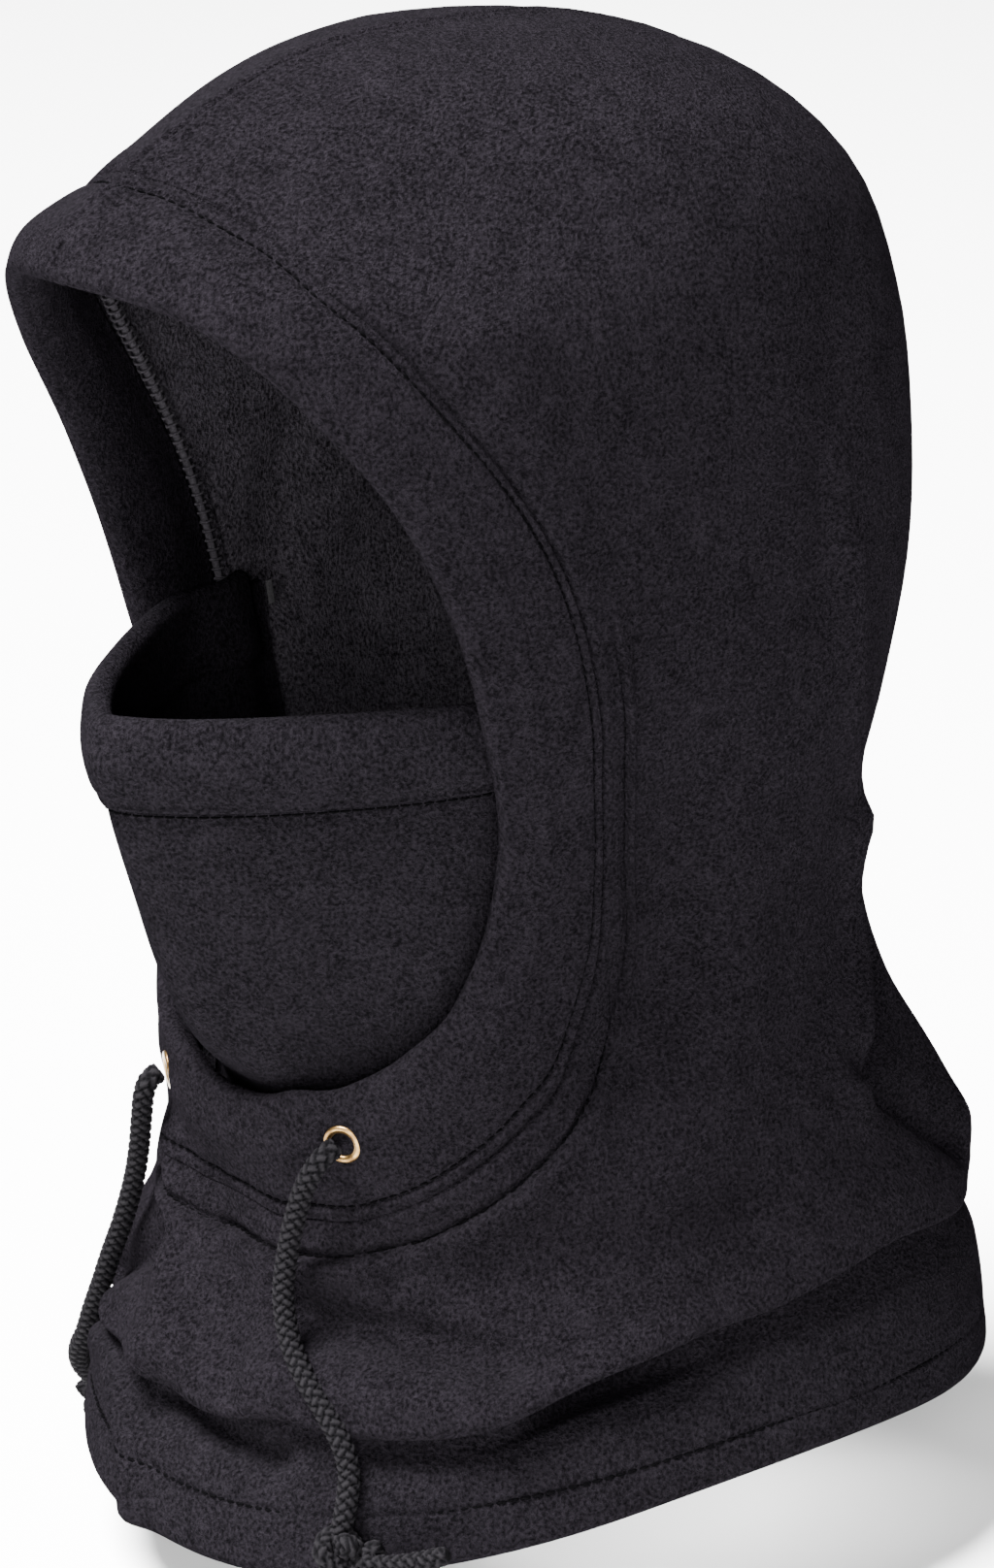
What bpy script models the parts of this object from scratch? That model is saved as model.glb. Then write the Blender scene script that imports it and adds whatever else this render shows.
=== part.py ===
"""Fleece balaclava hood with a drawcord casing, a pull-down face mask and a folded neck collar.

Frame: metres, +Z up, the face looks along -Y, the wearer's left is +X. The origin is on the crown,
where the cloth rests on a head. Every cloth piece follows one garment surface, which is described by
rings from the crown down to the hem. A place on it is a polar pair: the angle round the vertical axis
(0 at the front, positive towards the wearer's left) and the level, 0 at the crown and 1 at the hem.
Seams and edges round the face are loops: distances from a point inside the face opening, in the flat
disc that those polar pairs make.
"""
import math

import bmesh
import bpy
import numpy as np
from mathutils import Matrix, Vector

# Driving dimensions
FLEECE = 0.0026             # one layer of the hood's fleece
BAND_CLOTH = 0.0022         # one layer of the face band, a thinner cut of the same fleece
GAP = 0.0003                # clearance between neighbouring solids
CORD_RADIUS = 0.0025
THREAD_RADIUS = 0.00045
CHANNEL_DEPTH = 0.0070      # room for the cord between the two layers of the face band
CORD_SHARE = 0.36           # where the cord runs, as a share of the band's width from its folded edge
TOPSTITCH_SHARE = 0.88      # where the band's topstitching runs, as the same kind of share
EYELET_ANGLE = 130          # degrees round the opening from its top
EYELET_BORE = 0.0032
EYELET_BARREL = 0.0037
EYELET_FLANGE = 0.0056
FLANGE_LIFT = 0.0004        # of the flange's underside over the cloth
EYELET_HOLE_DEPTH = 0.008   # of the hole cut for the barrel, which reaches into the cord's channel
WASHER_BORE = 0.0043
MASK_HEM_WIDTH = 0.025      # height of the folded strip along the mask's top edge
COLLAR_TUCK = 0.045         # how far the collar runs up under the hood, in levels
COLLAR_SPACE = 0.0018       # between the hood's inner face and the tucked part of the collar
COLLAR_HEM_LEVEL = 0.945    # where the collar's stitching runs
KNOT_RADIUS = 0.0056
OVERLOCK_RADIUS = 0.0011
OVERLOCK_SETBACK = 0.0125   # of the looped edge from the face band's seam, in levels
BAR_TACK = (0.0016, 0.0075, 0.0010)     # across, along and through the cloth
# The cord's tip past the knot: (distance out of the knot, rise).
CORD_TIP = ((0.0, -0.0015), (0.004, -0.0022), (0.009, -0.0014), (0.014, 0.0006), (0.0185, 0.0022))

# Rings from the crown to the hem. Each holds its foremost point (y, z), its side point (x, y, z), its
# rearmost point (y, z), and how square its front half is: 2 is an ellipse, less makes a ridge.
RINGS = (
    ((-0.038, -0.003), (0.000, -0.038, -0.003), (-0.038, -0.003), 1.40),
    ((-0.074, -0.005), (0.036, -0.032, -0.007), (0.004, -0.005), 1.40),
    ((-0.107, -0.015), (0.065, -0.023, -0.021), (0.046, -0.018), 1.40),
    ((-0.141, -0.033), (0.080, -0.014, -0.046), (0.079, -0.044), 1.45),
    ((-0.160, -0.055), (0.086, -0.008, -0.078), (0.094, -0.078), 2.00),
    ((-0.166, -0.088), (0.087, -0.002, -0.112), (0.099, -0.114), 2.25),
    ((-0.164, -0.124), (0.086, 0.000, -0.146), (0.099, -0.150), 2.35),
    ((-0.156, -0.160), (0.083, 0.000, -0.180), (0.091, -0.186), 2.40),
    ((-0.144, -0.196), (0.078, 0.000, -0.212), (0.082, -0.218), 2.40),
    ((-0.128, -0.232), (0.076, 0.000, -0.242), (0.081, -0.246), 2.30),
    ((-0.112, -0.268), (0.080, 0.000, -0.272), (0.090, -0.274), 2.20),
    ((-0.106, -0.300), (0.089, 0.000, -0.300), (0.107, -0.300), 2.15),
    ((-0.112, -0.328), (0.099, 0.000, -0.325), (0.117, -0.323), 2.15),
    ((-0.121, -0.353), (0.106, 0.000, -0.346), (0.121, -0.343), 2.15),
    ((-0.128, -0.375), (0.110, 0.000, -0.356), (0.123, -0.361), 2.15),
    ((-0.131, -0.397), (0.112, 0.000, -0.367), (0.124, -0.378), 2.15),
)
BACK_SQUARENESS = 2.15

# The face opening's centre in the disc: straight ahead, at this level.
FACE_LEVEL = 0.45
# Loops round the face: (degrees from the top of the opening, distance in levels).
OPENING_EDGE = ((0, 0.190), (20, 0.201), (40, 0.221), (55, 0.258), (70, 0.318), (80, 0.369),
                (88, 0.379), (96, 0.371), (108, 0.338), (125, 0.293), (150, 0.246), (180, 0.231))
BAND_SEAM = ((0, 0.262), (14, 0.251), (25, 0.254), (34, 0.269), (42, 0.291), (48, 0.321), (58, 0.400),
             (65, 0.458), (70, 0.500), (76, 0.529), (83, 0.526), (92, 0.492), (108, 0.432),
             (127, 0.372), (150, 0.320), (180, 0.292))
MASK_SEAM = ((52, 0.402), (59, 0.452), (65, 0.520), (70, 0.576), (76, 0.584), (84, 0.560),
             (95, 0.514), (112, 0.446), (131, 0.384), (155, 0.336), (180, 0.315))
HOOD_END = ((0, 1.270), (26, 1.190), (47, 1.032), (64, 0.898), (78, 0.780), (93, 0.679),
            (108, 0.609), (130, 0.511), (155, 0.440), (180, 0.428))
# The hood's lower edge again, as (degrees from the front, level), for the collar under it.
HOOD_END_LEVEL = ((0, 0.878), (12, 0.871), (26, 0.872), (42, 0.862), (54, 0.836), (69, 0.820),
                  (86, 0.805), (109, 0.795), (140, 0.807), (180, 0.820))

# Face mask: rows from its top edge down: front (y, z) and side (x, y, z), before it settles inside.
MASK_ROWS = (
    ((-0.1465, -0.170), (0.079, -0.039, -0.163)),
    ((-0.1435, -0.192), (0.080, -0.039, -0.182)),
    ((-0.1345, -0.220), (0.080, -0.038, -0.204)),
    ((-0.1250, -0.246), (0.080, -0.038, -0.222)),
    ((-0.1120, -0.268), (0.080, -0.040, -0.238)),
    ((-0.0985, -0.287), (0.080, -0.043, -0.252)),
    ((-0.0990, -0.303), (0.080, -0.047, -0.264)),
)
MASK_WEDGE = 1.45           # 1 is an ellipse in plan, 2 a straight-sided wedge
MASK_HEIGHT = 0.155         # along its middle
MASK_CLOTH = 0.0022
MASK_PIVOT = (0.0, -0.040, -0.166)     # the line about which the mask's top edge is tipped down
MASK_TURNS = tuple(range(-90, 91, 6))   # degrees from the mask's middle
HEM_STITCH_RISE = 0.014     # of the hem's stitching over its lower edge, as a share of MASK_HEIGHT
HEM_SPACE = 0.0011          # between the mask and each layer of its hem
# How deep the mask lies under the garment's outer face: (share of the face band's width, depth).
MASK_DEPTH = ((-1.8, -0.012), (-0.9, 0.0020), (-0.16, 0.0190), (1.0, 0.0190), (1.35, 0.0070),
              (2.0, 0.0056))

# Free cords, from the eyelet's mouth to the knot: points on each centre line.
CORD_ROUTE_LEFT = (
    (0.0374, -0.1032, -0.2812), (0.0372, -0.1062, -0.2828), (0.0356, -0.1086, -0.2864),
    (0.0332, -0.1100, -0.2922), (0.0312, -0.1110, -0.2990), (0.0292, -0.1124, -0.3100),
    (0.0295, -0.1142, -0.3222), (0.0338, -0.1154, -0.3330), (0.0405, -0.1158, -0.3408),
    (0.0472, -0.1150, -0.3478), (0.0528, -0.1142, -0.3548), (0.0560, -0.1142, -0.3620),
    (0.0578, -0.1164, -0.3690), (0.0584, -0.1184, -0.3752), (0.0586, -0.1198, -0.3800),
)
CORD_ROUTE_RIGHT = (
    (-0.0374, -0.1032, -0.2812), (-0.0380, -0.1060, -0.2830), (-0.0394, -0.1068, -0.2870),
    (-0.0416, -0.1060, -0.2936), (-0.0446, -0.1046, -0.3020), (-0.0480, -0.1034, -0.3110),
    (-0.0520, -0.1028, -0.3206), (-0.0568, -0.1026, -0.3310), (-0.0622, -0.1024, -0.3412),
    (-0.0678, -0.1014, -0.3510), (-0.0734, -0.1004, -0.3602), (-0.0790, -0.0988, -0.3690),
    (-0.0856, -0.0966, -0.3770), (-0.0906, -0.0924, -0.3842), (-0.0930, -0.0864, -0.3908),
    (-0.0938, -0.0808, -0.3966),
)

RAYS = 24                   # steps from the top of the opening to its bottom, on one side
RING_STEPS = 36             # steps round the collar
# Rows of the hood from the face band's seam to its lower edge.
HOOD_SHARES = (0.0, 0.06, 0.13, 0.21, 0.30, 0.39, 0.48, 0.57, 0.66, 0.75, 0.83, 0.90, 0.96, 1.0)
SEAM_SPACE = 0.0025         # between the band and the hood at their seam, in levels


def clear_scene():
    for item in list(bpy.data.objects):
        bpy.data.objects.remove(item, do_unlink=True)


def make_material(name, colour, roughness, metallic=0.0):
    material = bpy.data.materials.new(name)
    material.use_nodes = True
    shader = material.node_tree.nodes["Principled BSDF"]
    shader.inputs["Base Color"].default_value = (*colour, 1.0)
    shader.inputs["Roughness"].default_value = roughness
    shader.inputs["Metallic"].default_value = metallic
    return material


# Smooth curves through short tables

def smooth_value(table, where):
    """Cubic curve through (position, value) pairs that never overshoots them, level at both ends."""
    spots = np.array([row[0] for row in table], float)
    values = np.array([row[1] for row in table], float)
    rise = np.diff(values) / np.diff(spots)
    slopes = np.zeros(len(spots))
    for i in range(1, len(spots) - 1):
        if rise[i - 1] * rise[i] > 0:
            slopes[i] = 2 * rise[i - 1] * rise[i] / (rise[i - 1] + rise[i])
    where = np.clip(where, spots[0], spots[-1])
    left = np.clip(np.searchsorted(spots, where, side="right") - 1, 0, len(spots) - 2)
    width = spots[left + 1] - spots[left]
    t = (where - spots[left]) / width
    return ((2 * t**3 - 3 * t**2 + 1) * values[left] + (t**3 - 2 * t**2 + t) * width * slopes[left]
            + (3 * t**2 - 2 * t**3) * values[left + 1] + (t**3 - t**2) * width * slopes[left + 1])


def catmull(points, place):
    """Point on the Catmull-Rom curve through the points; place runs from 0 to 1."""
    points = np.asarray(points, float)
    padded = np.vstack([2 * points[0] - points[1], points, 2 * points[-1] - points[-2]])
    spot = min(max(place, 0.0), 1.0) * (len(points) - 1)
    i = min(int(spot), len(points) - 2)
    t = spot - i
    a, b, c, d = padded[i:i + 4]
    return 0.5 * (2 * b + (c - a) * t + (2 * a - 5 * b + 4 * c - d) * t**2 + (3 * b - a - 3 * c + d) * t**3)


# The garment surface

def ring_table():
    rows = [[*front, *side, *back, square] for front, side, back, square in RINGS]
    front, side, back, square = RINGS[1]
    before = [*back, -side[0], side[1], side[2], *front, square]
    return np.array([before, *rows, list(2 * np.array(rows[-1]) - np.array(rows[-2]))])


RING_TABLE = ring_table()


def surface(angle, level):
    """Outer face of the garment at an angle (radians from the front) and a level."""
    spot = min(max(level, 0.0), 1.0) * (len(RINGS) - 1)
    i = min(int(spot), len(RINGS) - 2)
    t = spot - i
    a, b, c, d = RING_TABLE[i:i + 4]
    ring = 0.5 * (2 * b + (c - a) * t + (2 * a - 5 * b + 4 * c - d) * t**2 + (3 * b - a - 3 * c + d) * t**3)
    front_y, front_z, side_x, side_y, side_z, back_y, back_z, front_square = ring
    ahead = math.cos(angle)
    reach = side_y - front_y if ahead > 0 else back_y - side_y
    end_z = front_z if ahead > 0 else back_z
    power = front_square if ahead > 0 else BACK_SQUARENESS
    side_term = (abs(math.sin(angle)) / max(side_x, 1e-6))**power
    radius = (side_term + (abs(ahead) / max(reach, 1e-6))**power)**(-1 / power)
    return np.array([radius * math.sin(angle), side_y - radius * ahead, side_z + (end_z - side_z) * ahead**2])


def disc_surface(across, along):
    return surface(math.atan2(across, -along), math.hypot(across, along))


def cloth_point(across, along, offset):
    """A point of the surface at a place in the disc, moved out by offset along the normal."""
    step = 0.004
    run = disc_surface(across + step, along) - disc_surface(across - step, along)
    rise = disc_surface(across, along + step) - disc_surface(across, along - step)
    normal = np.cross(run, rise)
    return disc_surface(across, along) + offset * normal / np.linalg.norm(normal)


def face_point(turn, distance, offset):
    """Point at a turn round the face (degrees from its top, positive to the wearer's left)."""
    angle = math.radians(turn)
    return cloth_point(distance * math.sin(angle), distance * math.cos(angle) - FACE_LEVEL, offset)


def neck_point(angle, level, offset):
    return cloth_point(level * math.sin(angle), -level * math.cos(angle), offset)


def loop_distance(table, turn):
    return float(smooth_value(table, abs(turn)))


def band_point(turn, share, offset):
    """Point of the face band: share 0 is the opening's edge, 1 the seam with the hood."""
    inner = loop_distance(OPENING_EDGE, turn)
    outer = loop_distance(BAND_SEAM, turn)
    return face_point(turn, inner + share * (outer - inner), offset)


# Mesh building

def new_object(name, bm, material, smooth=True):
    bmesh.ops.recalc_face_normals(bm, faces=bm.faces)
    mesh = bpy.data.meshes.new(name)
    bm.to_mesh(mesh)
    bm.free()
    if smooth:
        mesh.shade_smooth()
    mesh.materials.append(material)
    item = bpy.data.objects.new(name, mesh)
    bpy.context.scene.collection.objects.link(item)
    return item


def set_axis(item, axis):
    """Put a moving piece's origin on the axis it turns about, leaving the piece where it is."""
    shift = Vector(axis) - item.location
    item.data.transform(Matrix.Translation(-shift))
    item.location = Vector(axis)


def add_grid(bm, rows, closed):
    """Quads between rows of vertices; closed joins each row's last vertex to its first."""
    count = len(rows[0])
    for upper, lower in zip(rows, rows[1:]):
        for i in range(count if closed else count - 1):
            j = (i + 1) % count
            bm.faces.new((upper[i], upper[j], lower[j], lower[i]))


def make_sheet(name, outer, inner, material):
    """A closed sheet between two equal grids of points."""
    bm = bmesh.new()
    top = [[bm.verts.new(p) for p in row] for row in outer]
    low = [[bm.verts.new(p) for p in row] for row in inner]
    add_grid(bm, top, False)
    add_grid(bm, [row[::-1] for row in low], False)
    rim_top = top[0] + [row[-1] for row in top[1:]] + top[-1][-2::-1] + [row[0] for row in top[-2:0:-1]]
    rim_low = low[0] + [row[-1] for row in low[1:]] + low[-1][-2::-1] + [row[0] for row in low[-2:0:-1]]
    add_grid(bm, [rim_low, rim_top], True)
    return new_object(name, bm, material)


def make_swept(name, sections, material, ring):
    """A closed section swept along a path: a ring when it comes back, else with capped ends."""
    bm = bmesh.new()
    rows = [[bm.verts.new(p) for p in section] for section in sections]
    add_grid(bm, rows + rows[:1] if ring else rows, True)
    if not ring:
        for row in (rows[0][::-1], rows[-1]):
            centre = bm.verts.new(sum((v.co for v in row), Vector()) / len(row))
            for i, vertex in enumerate(row):
                bm.faces.new((vertex, row[(i + 1) % len(row)], centre))
    return new_object(name, bm, material)


def make_tube(name, points, radius, material, detail, closed=False):
    """A round tube on a straight-segment spline through the points."""
    curve = bpy.data.curves.new(name, "CURVE")
    curve.dimensions = "3D"
    curve.bevel_depth = radius
    curve.bevel_resolution = detail
    curve.use_fill_caps = not closed
    spline = curve.splines.new("POLY")
    spline.points.add(len(points) - 1)
    for spot, point in zip(spline.points, points):
        spot.co = (*point, 1.0)
    spline.use_cyclic_u = closed
    spline.use_smooth = True
    curve.materials.append(material)
    item = bpy.data.objects.new(name, curve)
    bpy.context.scene.collection.objects.link(item)
    return item


def even_points(route, spacing):
    """Evenly spaced points on the smooth curve through a route."""
    fine = np.array([catmull(route, k / 400) for k in range(401)])
    travel = np.concatenate([[0.0], np.cumsum(np.linalg.norm(np.diff(fine, axis=0), axis=1))])
    count = max(2, round(travel[-1] / spacing)) + 1
    marks = np.linspace(0.0, travel[-1], count)
    return [tuple(np.interp(mark, travel, fine[:, axis]) for axis in range(3)) for mark in marks]


# Hood

def hood_panel(side, material):
    """One side of the hood, from the face band's seam over the crown and round to the lower edge."""
    outer, inner = [], []
    for k in range(RAYS + 1):
        turn = side * 180 * k / RAYS
        start = loop_distance(BAND_SEAM, turn) + SEAM_SPACE
        end = loop_distance(HOOD_END, turn)
        for grid, offset in ((outer, 0.0), (inner, -FLEECE)):
            row = [face_point(turn, start + share * (end - start), offset) for share in HOOD_SHARES]
            for point in row:
                point[0] = side * max(side * point[0], GAP)
            grid.append(row)
    return make_sheet("hood_panel_left" if side > 0 else "hood_panel_right", outer, inner, material)


# Face band: one strip folded over at the opening's edge. Its section is a U that is open at the seam.

def band_section(turn):
    """The folded strip's section, as (share across the band, height over its outer face) pairs."""
    cloth = BAND_CLOTH
    floor = -(cloth + CHANNEL_DEPTH)
    outside = [(1.0, 0.0), (0.8, 0.0), (0.6, 0.0), (0.4, 0.0), (0.22, 0.0), (0.1, -0.0004)]
    fold = [(0.03, -0.0016), (0.0, -0.0036), (0.03, -0.0058)]
    inside = [(0.12, floor), (0.26, floor - 0.7 * cloth), (CORD_SHARE, floor - cloth),
              (0.48, floor - cloth), (0.62, floor - 0.4 * cloth), (0.8, -0.0076), (1.0, -0.0056)]
    hollow = [(1.0, -0.0034), (0.8, -0.0054), (0.62, floor + 0.6 * cloth), (0.48, floor),
              (CORD_SHARE, floor), (0.24, floor + 0.5 * cloth), (0.16, -0.0050), (0.15, -0.0036),
              (0.18, -cloth - 0.0002), (0.3, -cloth), (0.5, -cloth), (0.75, -cloth), (1.0, -cloth)]
    return [band_point(turn, share, offset) for share, offset in outside + fold + inside + hollow]


def eyelet_matrix(side):
    """Frame of an eyelet: +Z out of the cloth, +X round the opening towards its bottom."""
    turn = side * EYELET_ANGLE
    place = Vector(band_point(turn, CORD_SHARE, 0.0))
    out = (Vector(band_point(turn, CORD_SHARE, 0.001)) - place).normalized()
    round_way = Vector(band_point(turn + side, CORD_SHARE, 0.0)) - place
    first = (round_way - out * round_way.dot(out)).normalized()
    second = out.cross(first)
    return Matrix.Translation(place) @ Matrix((first, second, out)).transposed().to_4x4()


def turned_ring(name, profile, side, material, steps=16):
    """A ring turned from a closed (radius, height) profile about an eyelet's axis."""
    place = eyelet_matrix(side)
    sections = []
    for k in range(steps):
        angle = 2 * math.pi * k / steps
        sections.append([place @ Vector((r * math.cos(angle), r * math.sin(angle), h)) for r, h in profile])
    return make_swept(name, sections, material, True)


def face_band(material):
    turns = np.linspace(-180, 180, 2 * RAYS + 1)[:-1]
    band = make_swept("face_band", [band_section(turn) for turn in turns], material, True)
    for side in (1, -1):
        bm = bmesh.new()
        bmesh.ops.create_cone(bm, cap_ends=True, segments=16, radius1=EYELET_BARREL + GAP,
                              radius2=EYELET_BARREL + GAP, depth=EYELET_HOLE_DEPTH)
        cutter = new_object("eyelet_hole_cutter", bm, material)
        cutter.matrix_world = eyelet_matrix(side) @ Matrix.Translation((0, 0, 0.0005))
        cutter.hide_render = True
        cutter.display_type = "WIRE"
        cut = band.modifiers.new("eyelet_hole", "BOOLEAN")
        cut.object = cutter
    return band


def eyelet(side, materials):
    """A brass grommet: a rounded flange on the cloth and a barrel through its outer layer."""
    word = "left" if side > 0 else "right"
    low = FLANGE_LIFT
    flange = [(EYELET_BORE, low + 0.0006), (EYELET_BORE + 0.0007, low + 0.0013), (0.0046, low + 0.0012),
              (EYELET_FLANGE, low + 0.0004), (EYELET_FLANGE, low), (EYELET_BARREL, low),
              (EYELET_BARREL, -0.0028), (EYELET_BORE, -0.0028)]
    turned_ring("eyelet_" + word, flange, side, materials["brass"])
    washer = [(WASHER_BORE, -0.00255), (EYELET_FLANGE, -0.00255), (EYELET_FLANGE, -0.00295),
              (WASHER_BORE, -0.00295)]
    turned_ring("eyelet_washer_" + word, washer, side, materials["brass"])


def channel_cord(material):
    """The cord inside the face band, from one eyelet's mouth over the head to the other's."""
    depth = -(BAND_CLOTH + CHANNEL_DEPTH / 2)
    last = EYELET_ANGLE - 10
    middle = [Vector(band_point(turn, CORD_SHARE, depth)) for turn in np.linspace(last, -last, 33)]
    bend = [(0.0090, depth), (0.0058, depth), (0.0032, depth + 0.0001), (0.0013, depth + 0.0008),
            (0.0003, -0.0040), (0.0, -0.0024), (0.0, 0.0), (0.0, 0.0014)]
    ends = {}
    for side in (1, -1):
        place = eyelet_matrix(side)
        ends[side] = [place @ Vector((-along, 0.0, height)) for along, height in bend]
    run = even_points([ends[1][0], *middle, ends[-1][0]], 0.0100)
    route = ends[1][::-1] + run[1:-1] + ends[-1]
    make_tube("drawcord_run", route, CORD_RADIUS - GAP, material, 2)


# Mask

def settle_inside(point):
    """Draw a point of the mask inwards until it is clear of the hood and of the folded face band."""
    x, y, z = point
    high, low = 0.25, 0.95
    for _ in range(16):
        level = (high + low) / 2
        centre_y = surface(math.pi / 2, level)[1]
        angle = math.atan2(x, centre_y - y)
        if surface(angle, level)[2] > z:
            high = level
        else:
            low = level
    across, along = level * math.sin(angle), FACE_LEVEL - level * math.cos(angle)
    turn = math.degrees(math.atan2(across, along))
    inner = loop_distance(OPENING_EDGE, turn)
    share = (math.hypot(across, along) - inner) / (loop_distance(BAND_SEAM, turn) - inner)
    skin = surface(angle, level)
    room = math.hypot(skin[0], skin[1] - centre_y) - float(smooth_value(MASK_DEPTH, share))
    pull = min(1.0, room / math.hypot(x, y - centre_y))
    return np.array([x * pull, centre_y + (y - centre_y) * pull, z])


def mask_point(turn, drop, offset):
    """Point of the mask: turn in degrees from its middle, drop 0 at its top edge and 1 at its seam."""
    rows = [[*front, *side] for front, side in MASK_ROWS]
    front_y, front_z, side_x, side_y, side_z = catmull(rows, drop)
    ahead = max(math.cos(math.radians(turn)), 0.0)**MASK_WEDGE
    sine = math.sin(math.radians(turn))
    aside = math.copysign(abs(sine)**MASK_WEDGE, sine)
    point = settle_inside((side_x * aside, side_y + (front_y - side_y) * ahead,
                           side_z + (front_z - side_z) * ahead))
    return point + offset * mask_normal(turn)


def mask_normal(turn):
    power = 2 - MASK_WEDGE
    sine = math.sin(math.radians(turn))
    aside = 1.15 * math.copysign(abs(sine)**power, sine)
    normal = np.array([aside, -max(math.cos(math.radians(turn)), 0.0)**power, 0.0])
    return normal / np.linalg.norm(normal)


def make_mask(materials):
    hem_end = MASK_HEM_WIDTH / MASK_HEIGHT
    drops = [0.045, 0.10, hem_end, *np.linspace(0.25, 1.0, 9)]
    outer = [[mask_point(turn, drop, 0.0) for turn in MASK_TURNS] for drop in drops]
    inner = [[mask_point(turn, drop, -MASK_CLOTH) for turn in MASK_TURNS] for drop in drops]
    make_sheet("mask_panel", outer, inner, materials["fleece"])
    near = HEM_SPACE
    far = near + MASK_CLOTH
    outside = [(hem_end, far), (0.10, far), (0.045, far), (0.0, far - 0.0006), (-0.012, -MASK_CLOTH / 2)]
    inside = [(hem_end, near), (0.10, near), (0.045, near), (0.032, near), (0.026, -MASK_CLOTH / 2)]
    layers = [fold_over(outside), fold_over(inside)]
    grids = [[[mask_hem_point(turn, drop, offset) for drop, offset in layer] for turn in MASK_TURNS[2:-2]]
             for layer in layers]
    set_axis(make_sheet("mask_top_band", *grids, materials["fleece"]), MASK_PIVOT)


def fold_over(half):
    """A path up the mask's outer face and its mirror down the inner face."""
    return half + [(drop, -MASK_CLOTH - offset) for drop, offset in half[-2::-1]]


def mask_hem_point(turn, drop, offset):
    point = mask_point(turn, max(drop, 0.0), offset)
    point[2] -= min(drop, 0.0) * MASK_HEIGHT
    return point


# Collar: one strip folded at the hem, its upper part tucked up inside the hood.

def collar_section(angle):
    end = loop_level(angle)
    top = end - COLLAR_TUCK
    cloth = FLEECE
    under = -(FLEECE + COLLAR_SPACE)

    def face(level):
        rise = min(max((level - end) / 0.07, 0.0), 1.0)
        return under * (1 - rise * rise * (3 - 2 * rise))

    levels = [top, (top + end) / 2, end, end + 0.03, end + 0.07, 0.965, 0.99]
    space = 0.0010
    outside = [(level, face(level)) for level in levels]
    fold = [(1.0, -0.0014), (1.0, -0.0044)]
    inside = [(level, face(level) - 2 * cloth - space) for level in levels[::-1]]
    hollow = [(level, face(level) - cloth - space) for level in levels[:-1]]
    hollow += [(level, face(level) - cloth) for level in levels[-2::-1]]
    return [neck_point(angle, level, offset) for level, offset in outside + fold + inside + hollow]


def loop_level(angle):
    turn = abs((math.degrees(angle) + 180) % 360 - 180)
    return float(smooth_value(HOOD_END_LEVEL, turn))


def neck_collar(material):
    angles = [2 * math.pi * k / RING_STEPS for k in range(RING_STEPS)]
    make_swept("neck_collar", [collar_section(angle) for angle in angles], material, True)


# Free cords, knots and stitching

def free_cord(side, materials):
    """A hanging cord end: the cord, the knot tied in it and the tip that sticks out of the knot."""
    word = "left" if side > 0 else "right"
    route = CORD_ROUTE_LEFT if side > 0 else CORD_ROUTE_RIGHT
    cord = make_tube("drawcord_" + word, even_points(route, 0.0060), CORD_RADIUS, materials["cord"], 2)
    set_axis(cord, route[0])
    end = Vector(route[-1])
    down = (end - Vector(route[-2])).normalized()
    knot = end + down * (KNOT_RADIUS * 0.9 + GAP)
    bm = bmesh.new()
    bmesh.ops.create_uvsphere(bm, u_segments=16, v_segments=10, radius=KNOT_RADIUS)
    bmesh.ops.scale(bm, vec=(1.15, 0.85, 0.90), verts=bm.verts)
    turn = down.to_track_quat("-Z", "X").to_matrix().to_4x4()
    bmesh.ops.transform(bm, matrix=Matrix.Translation(knot) @ turn, verts=bm.verts)
    set_axis(new_object("cord_knot_" + word, bm, materials["cord"]), route[0])
    start = KNOT_RADIUS * 1.15 + GAP
    points = [knot + Vector((side * (start + along), 0.4 * along, rise)) for along, rise in CORD_TIP]
    tip = make_tube("cord_tip_" + word, [tuple(p) for p in points], CORD_RADIUS, materials["cord"], 2)
    set_axis(tip, route[0])


def stitch_line(name, points, material, closed=False):
    return make_tube(name, [tuple(point) for point in points], THREAD_RADIUS, material, 0, closed)


def stitching(material):
    proud = THREAD_RADIUS + 2.5 * GAP
    start, end = loop_distance(BAND_SEAM, 0) + SEAM_SPACE, loop_distance(HOOD_END, 0)
    crown = [face_point(0, start + share * (end - start), proud) for share in HOOD_SHARES]
    stitch_line("crown_seam_thread", crown, material)
    turns = np.linspace(-180, 180, 49)[:-1]
    topstitch = [band_point(turn, TOPSTITCH_SHARE, proud) for turn in turns]
    stitch_line("band_topstitch_thread", topstitch, material, True)
    turns = [*np.linspace(53, 180, 25), *np.linspace(-180, -53, 25)[1:]]
    seam = [face_point(turn, loop_distance(MASK_SEAM, turn), proud) for turn in turns]
    stitch_line("mask_seam_thread", seam, material)
    height = MASK_HEM_WIDTH / MASK_HEIGHT - HEM_STITCH_RISE
    far = MASK_CLOTH + HEM_SPACE
    hem = [mask_point(turn, height, far + THREAD_RADIUS + 3 * GAP) for turn in MASK_TURNS[6:-6]]
    set_axis(stitch_line("mask_hem_thread", hem, material), MASK_PIVOT)
    angles = [2 * math.pi * k / RING_STEPS for k in range(RING_STEPS)]
    hem = [neck_point(angle, COLLAR_HEM_LEVEL, THREAD_RADIUS + GAP) for angle in angles]
    stitch_line("collar_hem_thread", hem, material, True)


def seam_overlock(side, material):
    """The looped edge binding on the inside of the seam between the face band and the hood."""
    turns = [180 * k / RAYS for k in range(1, 14)]
    depth = -(FLEECE + 3 * GAP + OVERLOCK_RADIUS)
    points = [face_point(side * turn, loop_distance(BAND_SEAM, turn) + OVERLOCK_SETBACK, depth)
              for turn in turns]
    make_tube("seam_overlock_" + ("left" if side > 0 else "right"), [tuple(p) for p in points],
              OVERLOCK_RADIUS, material, 1)


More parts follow.
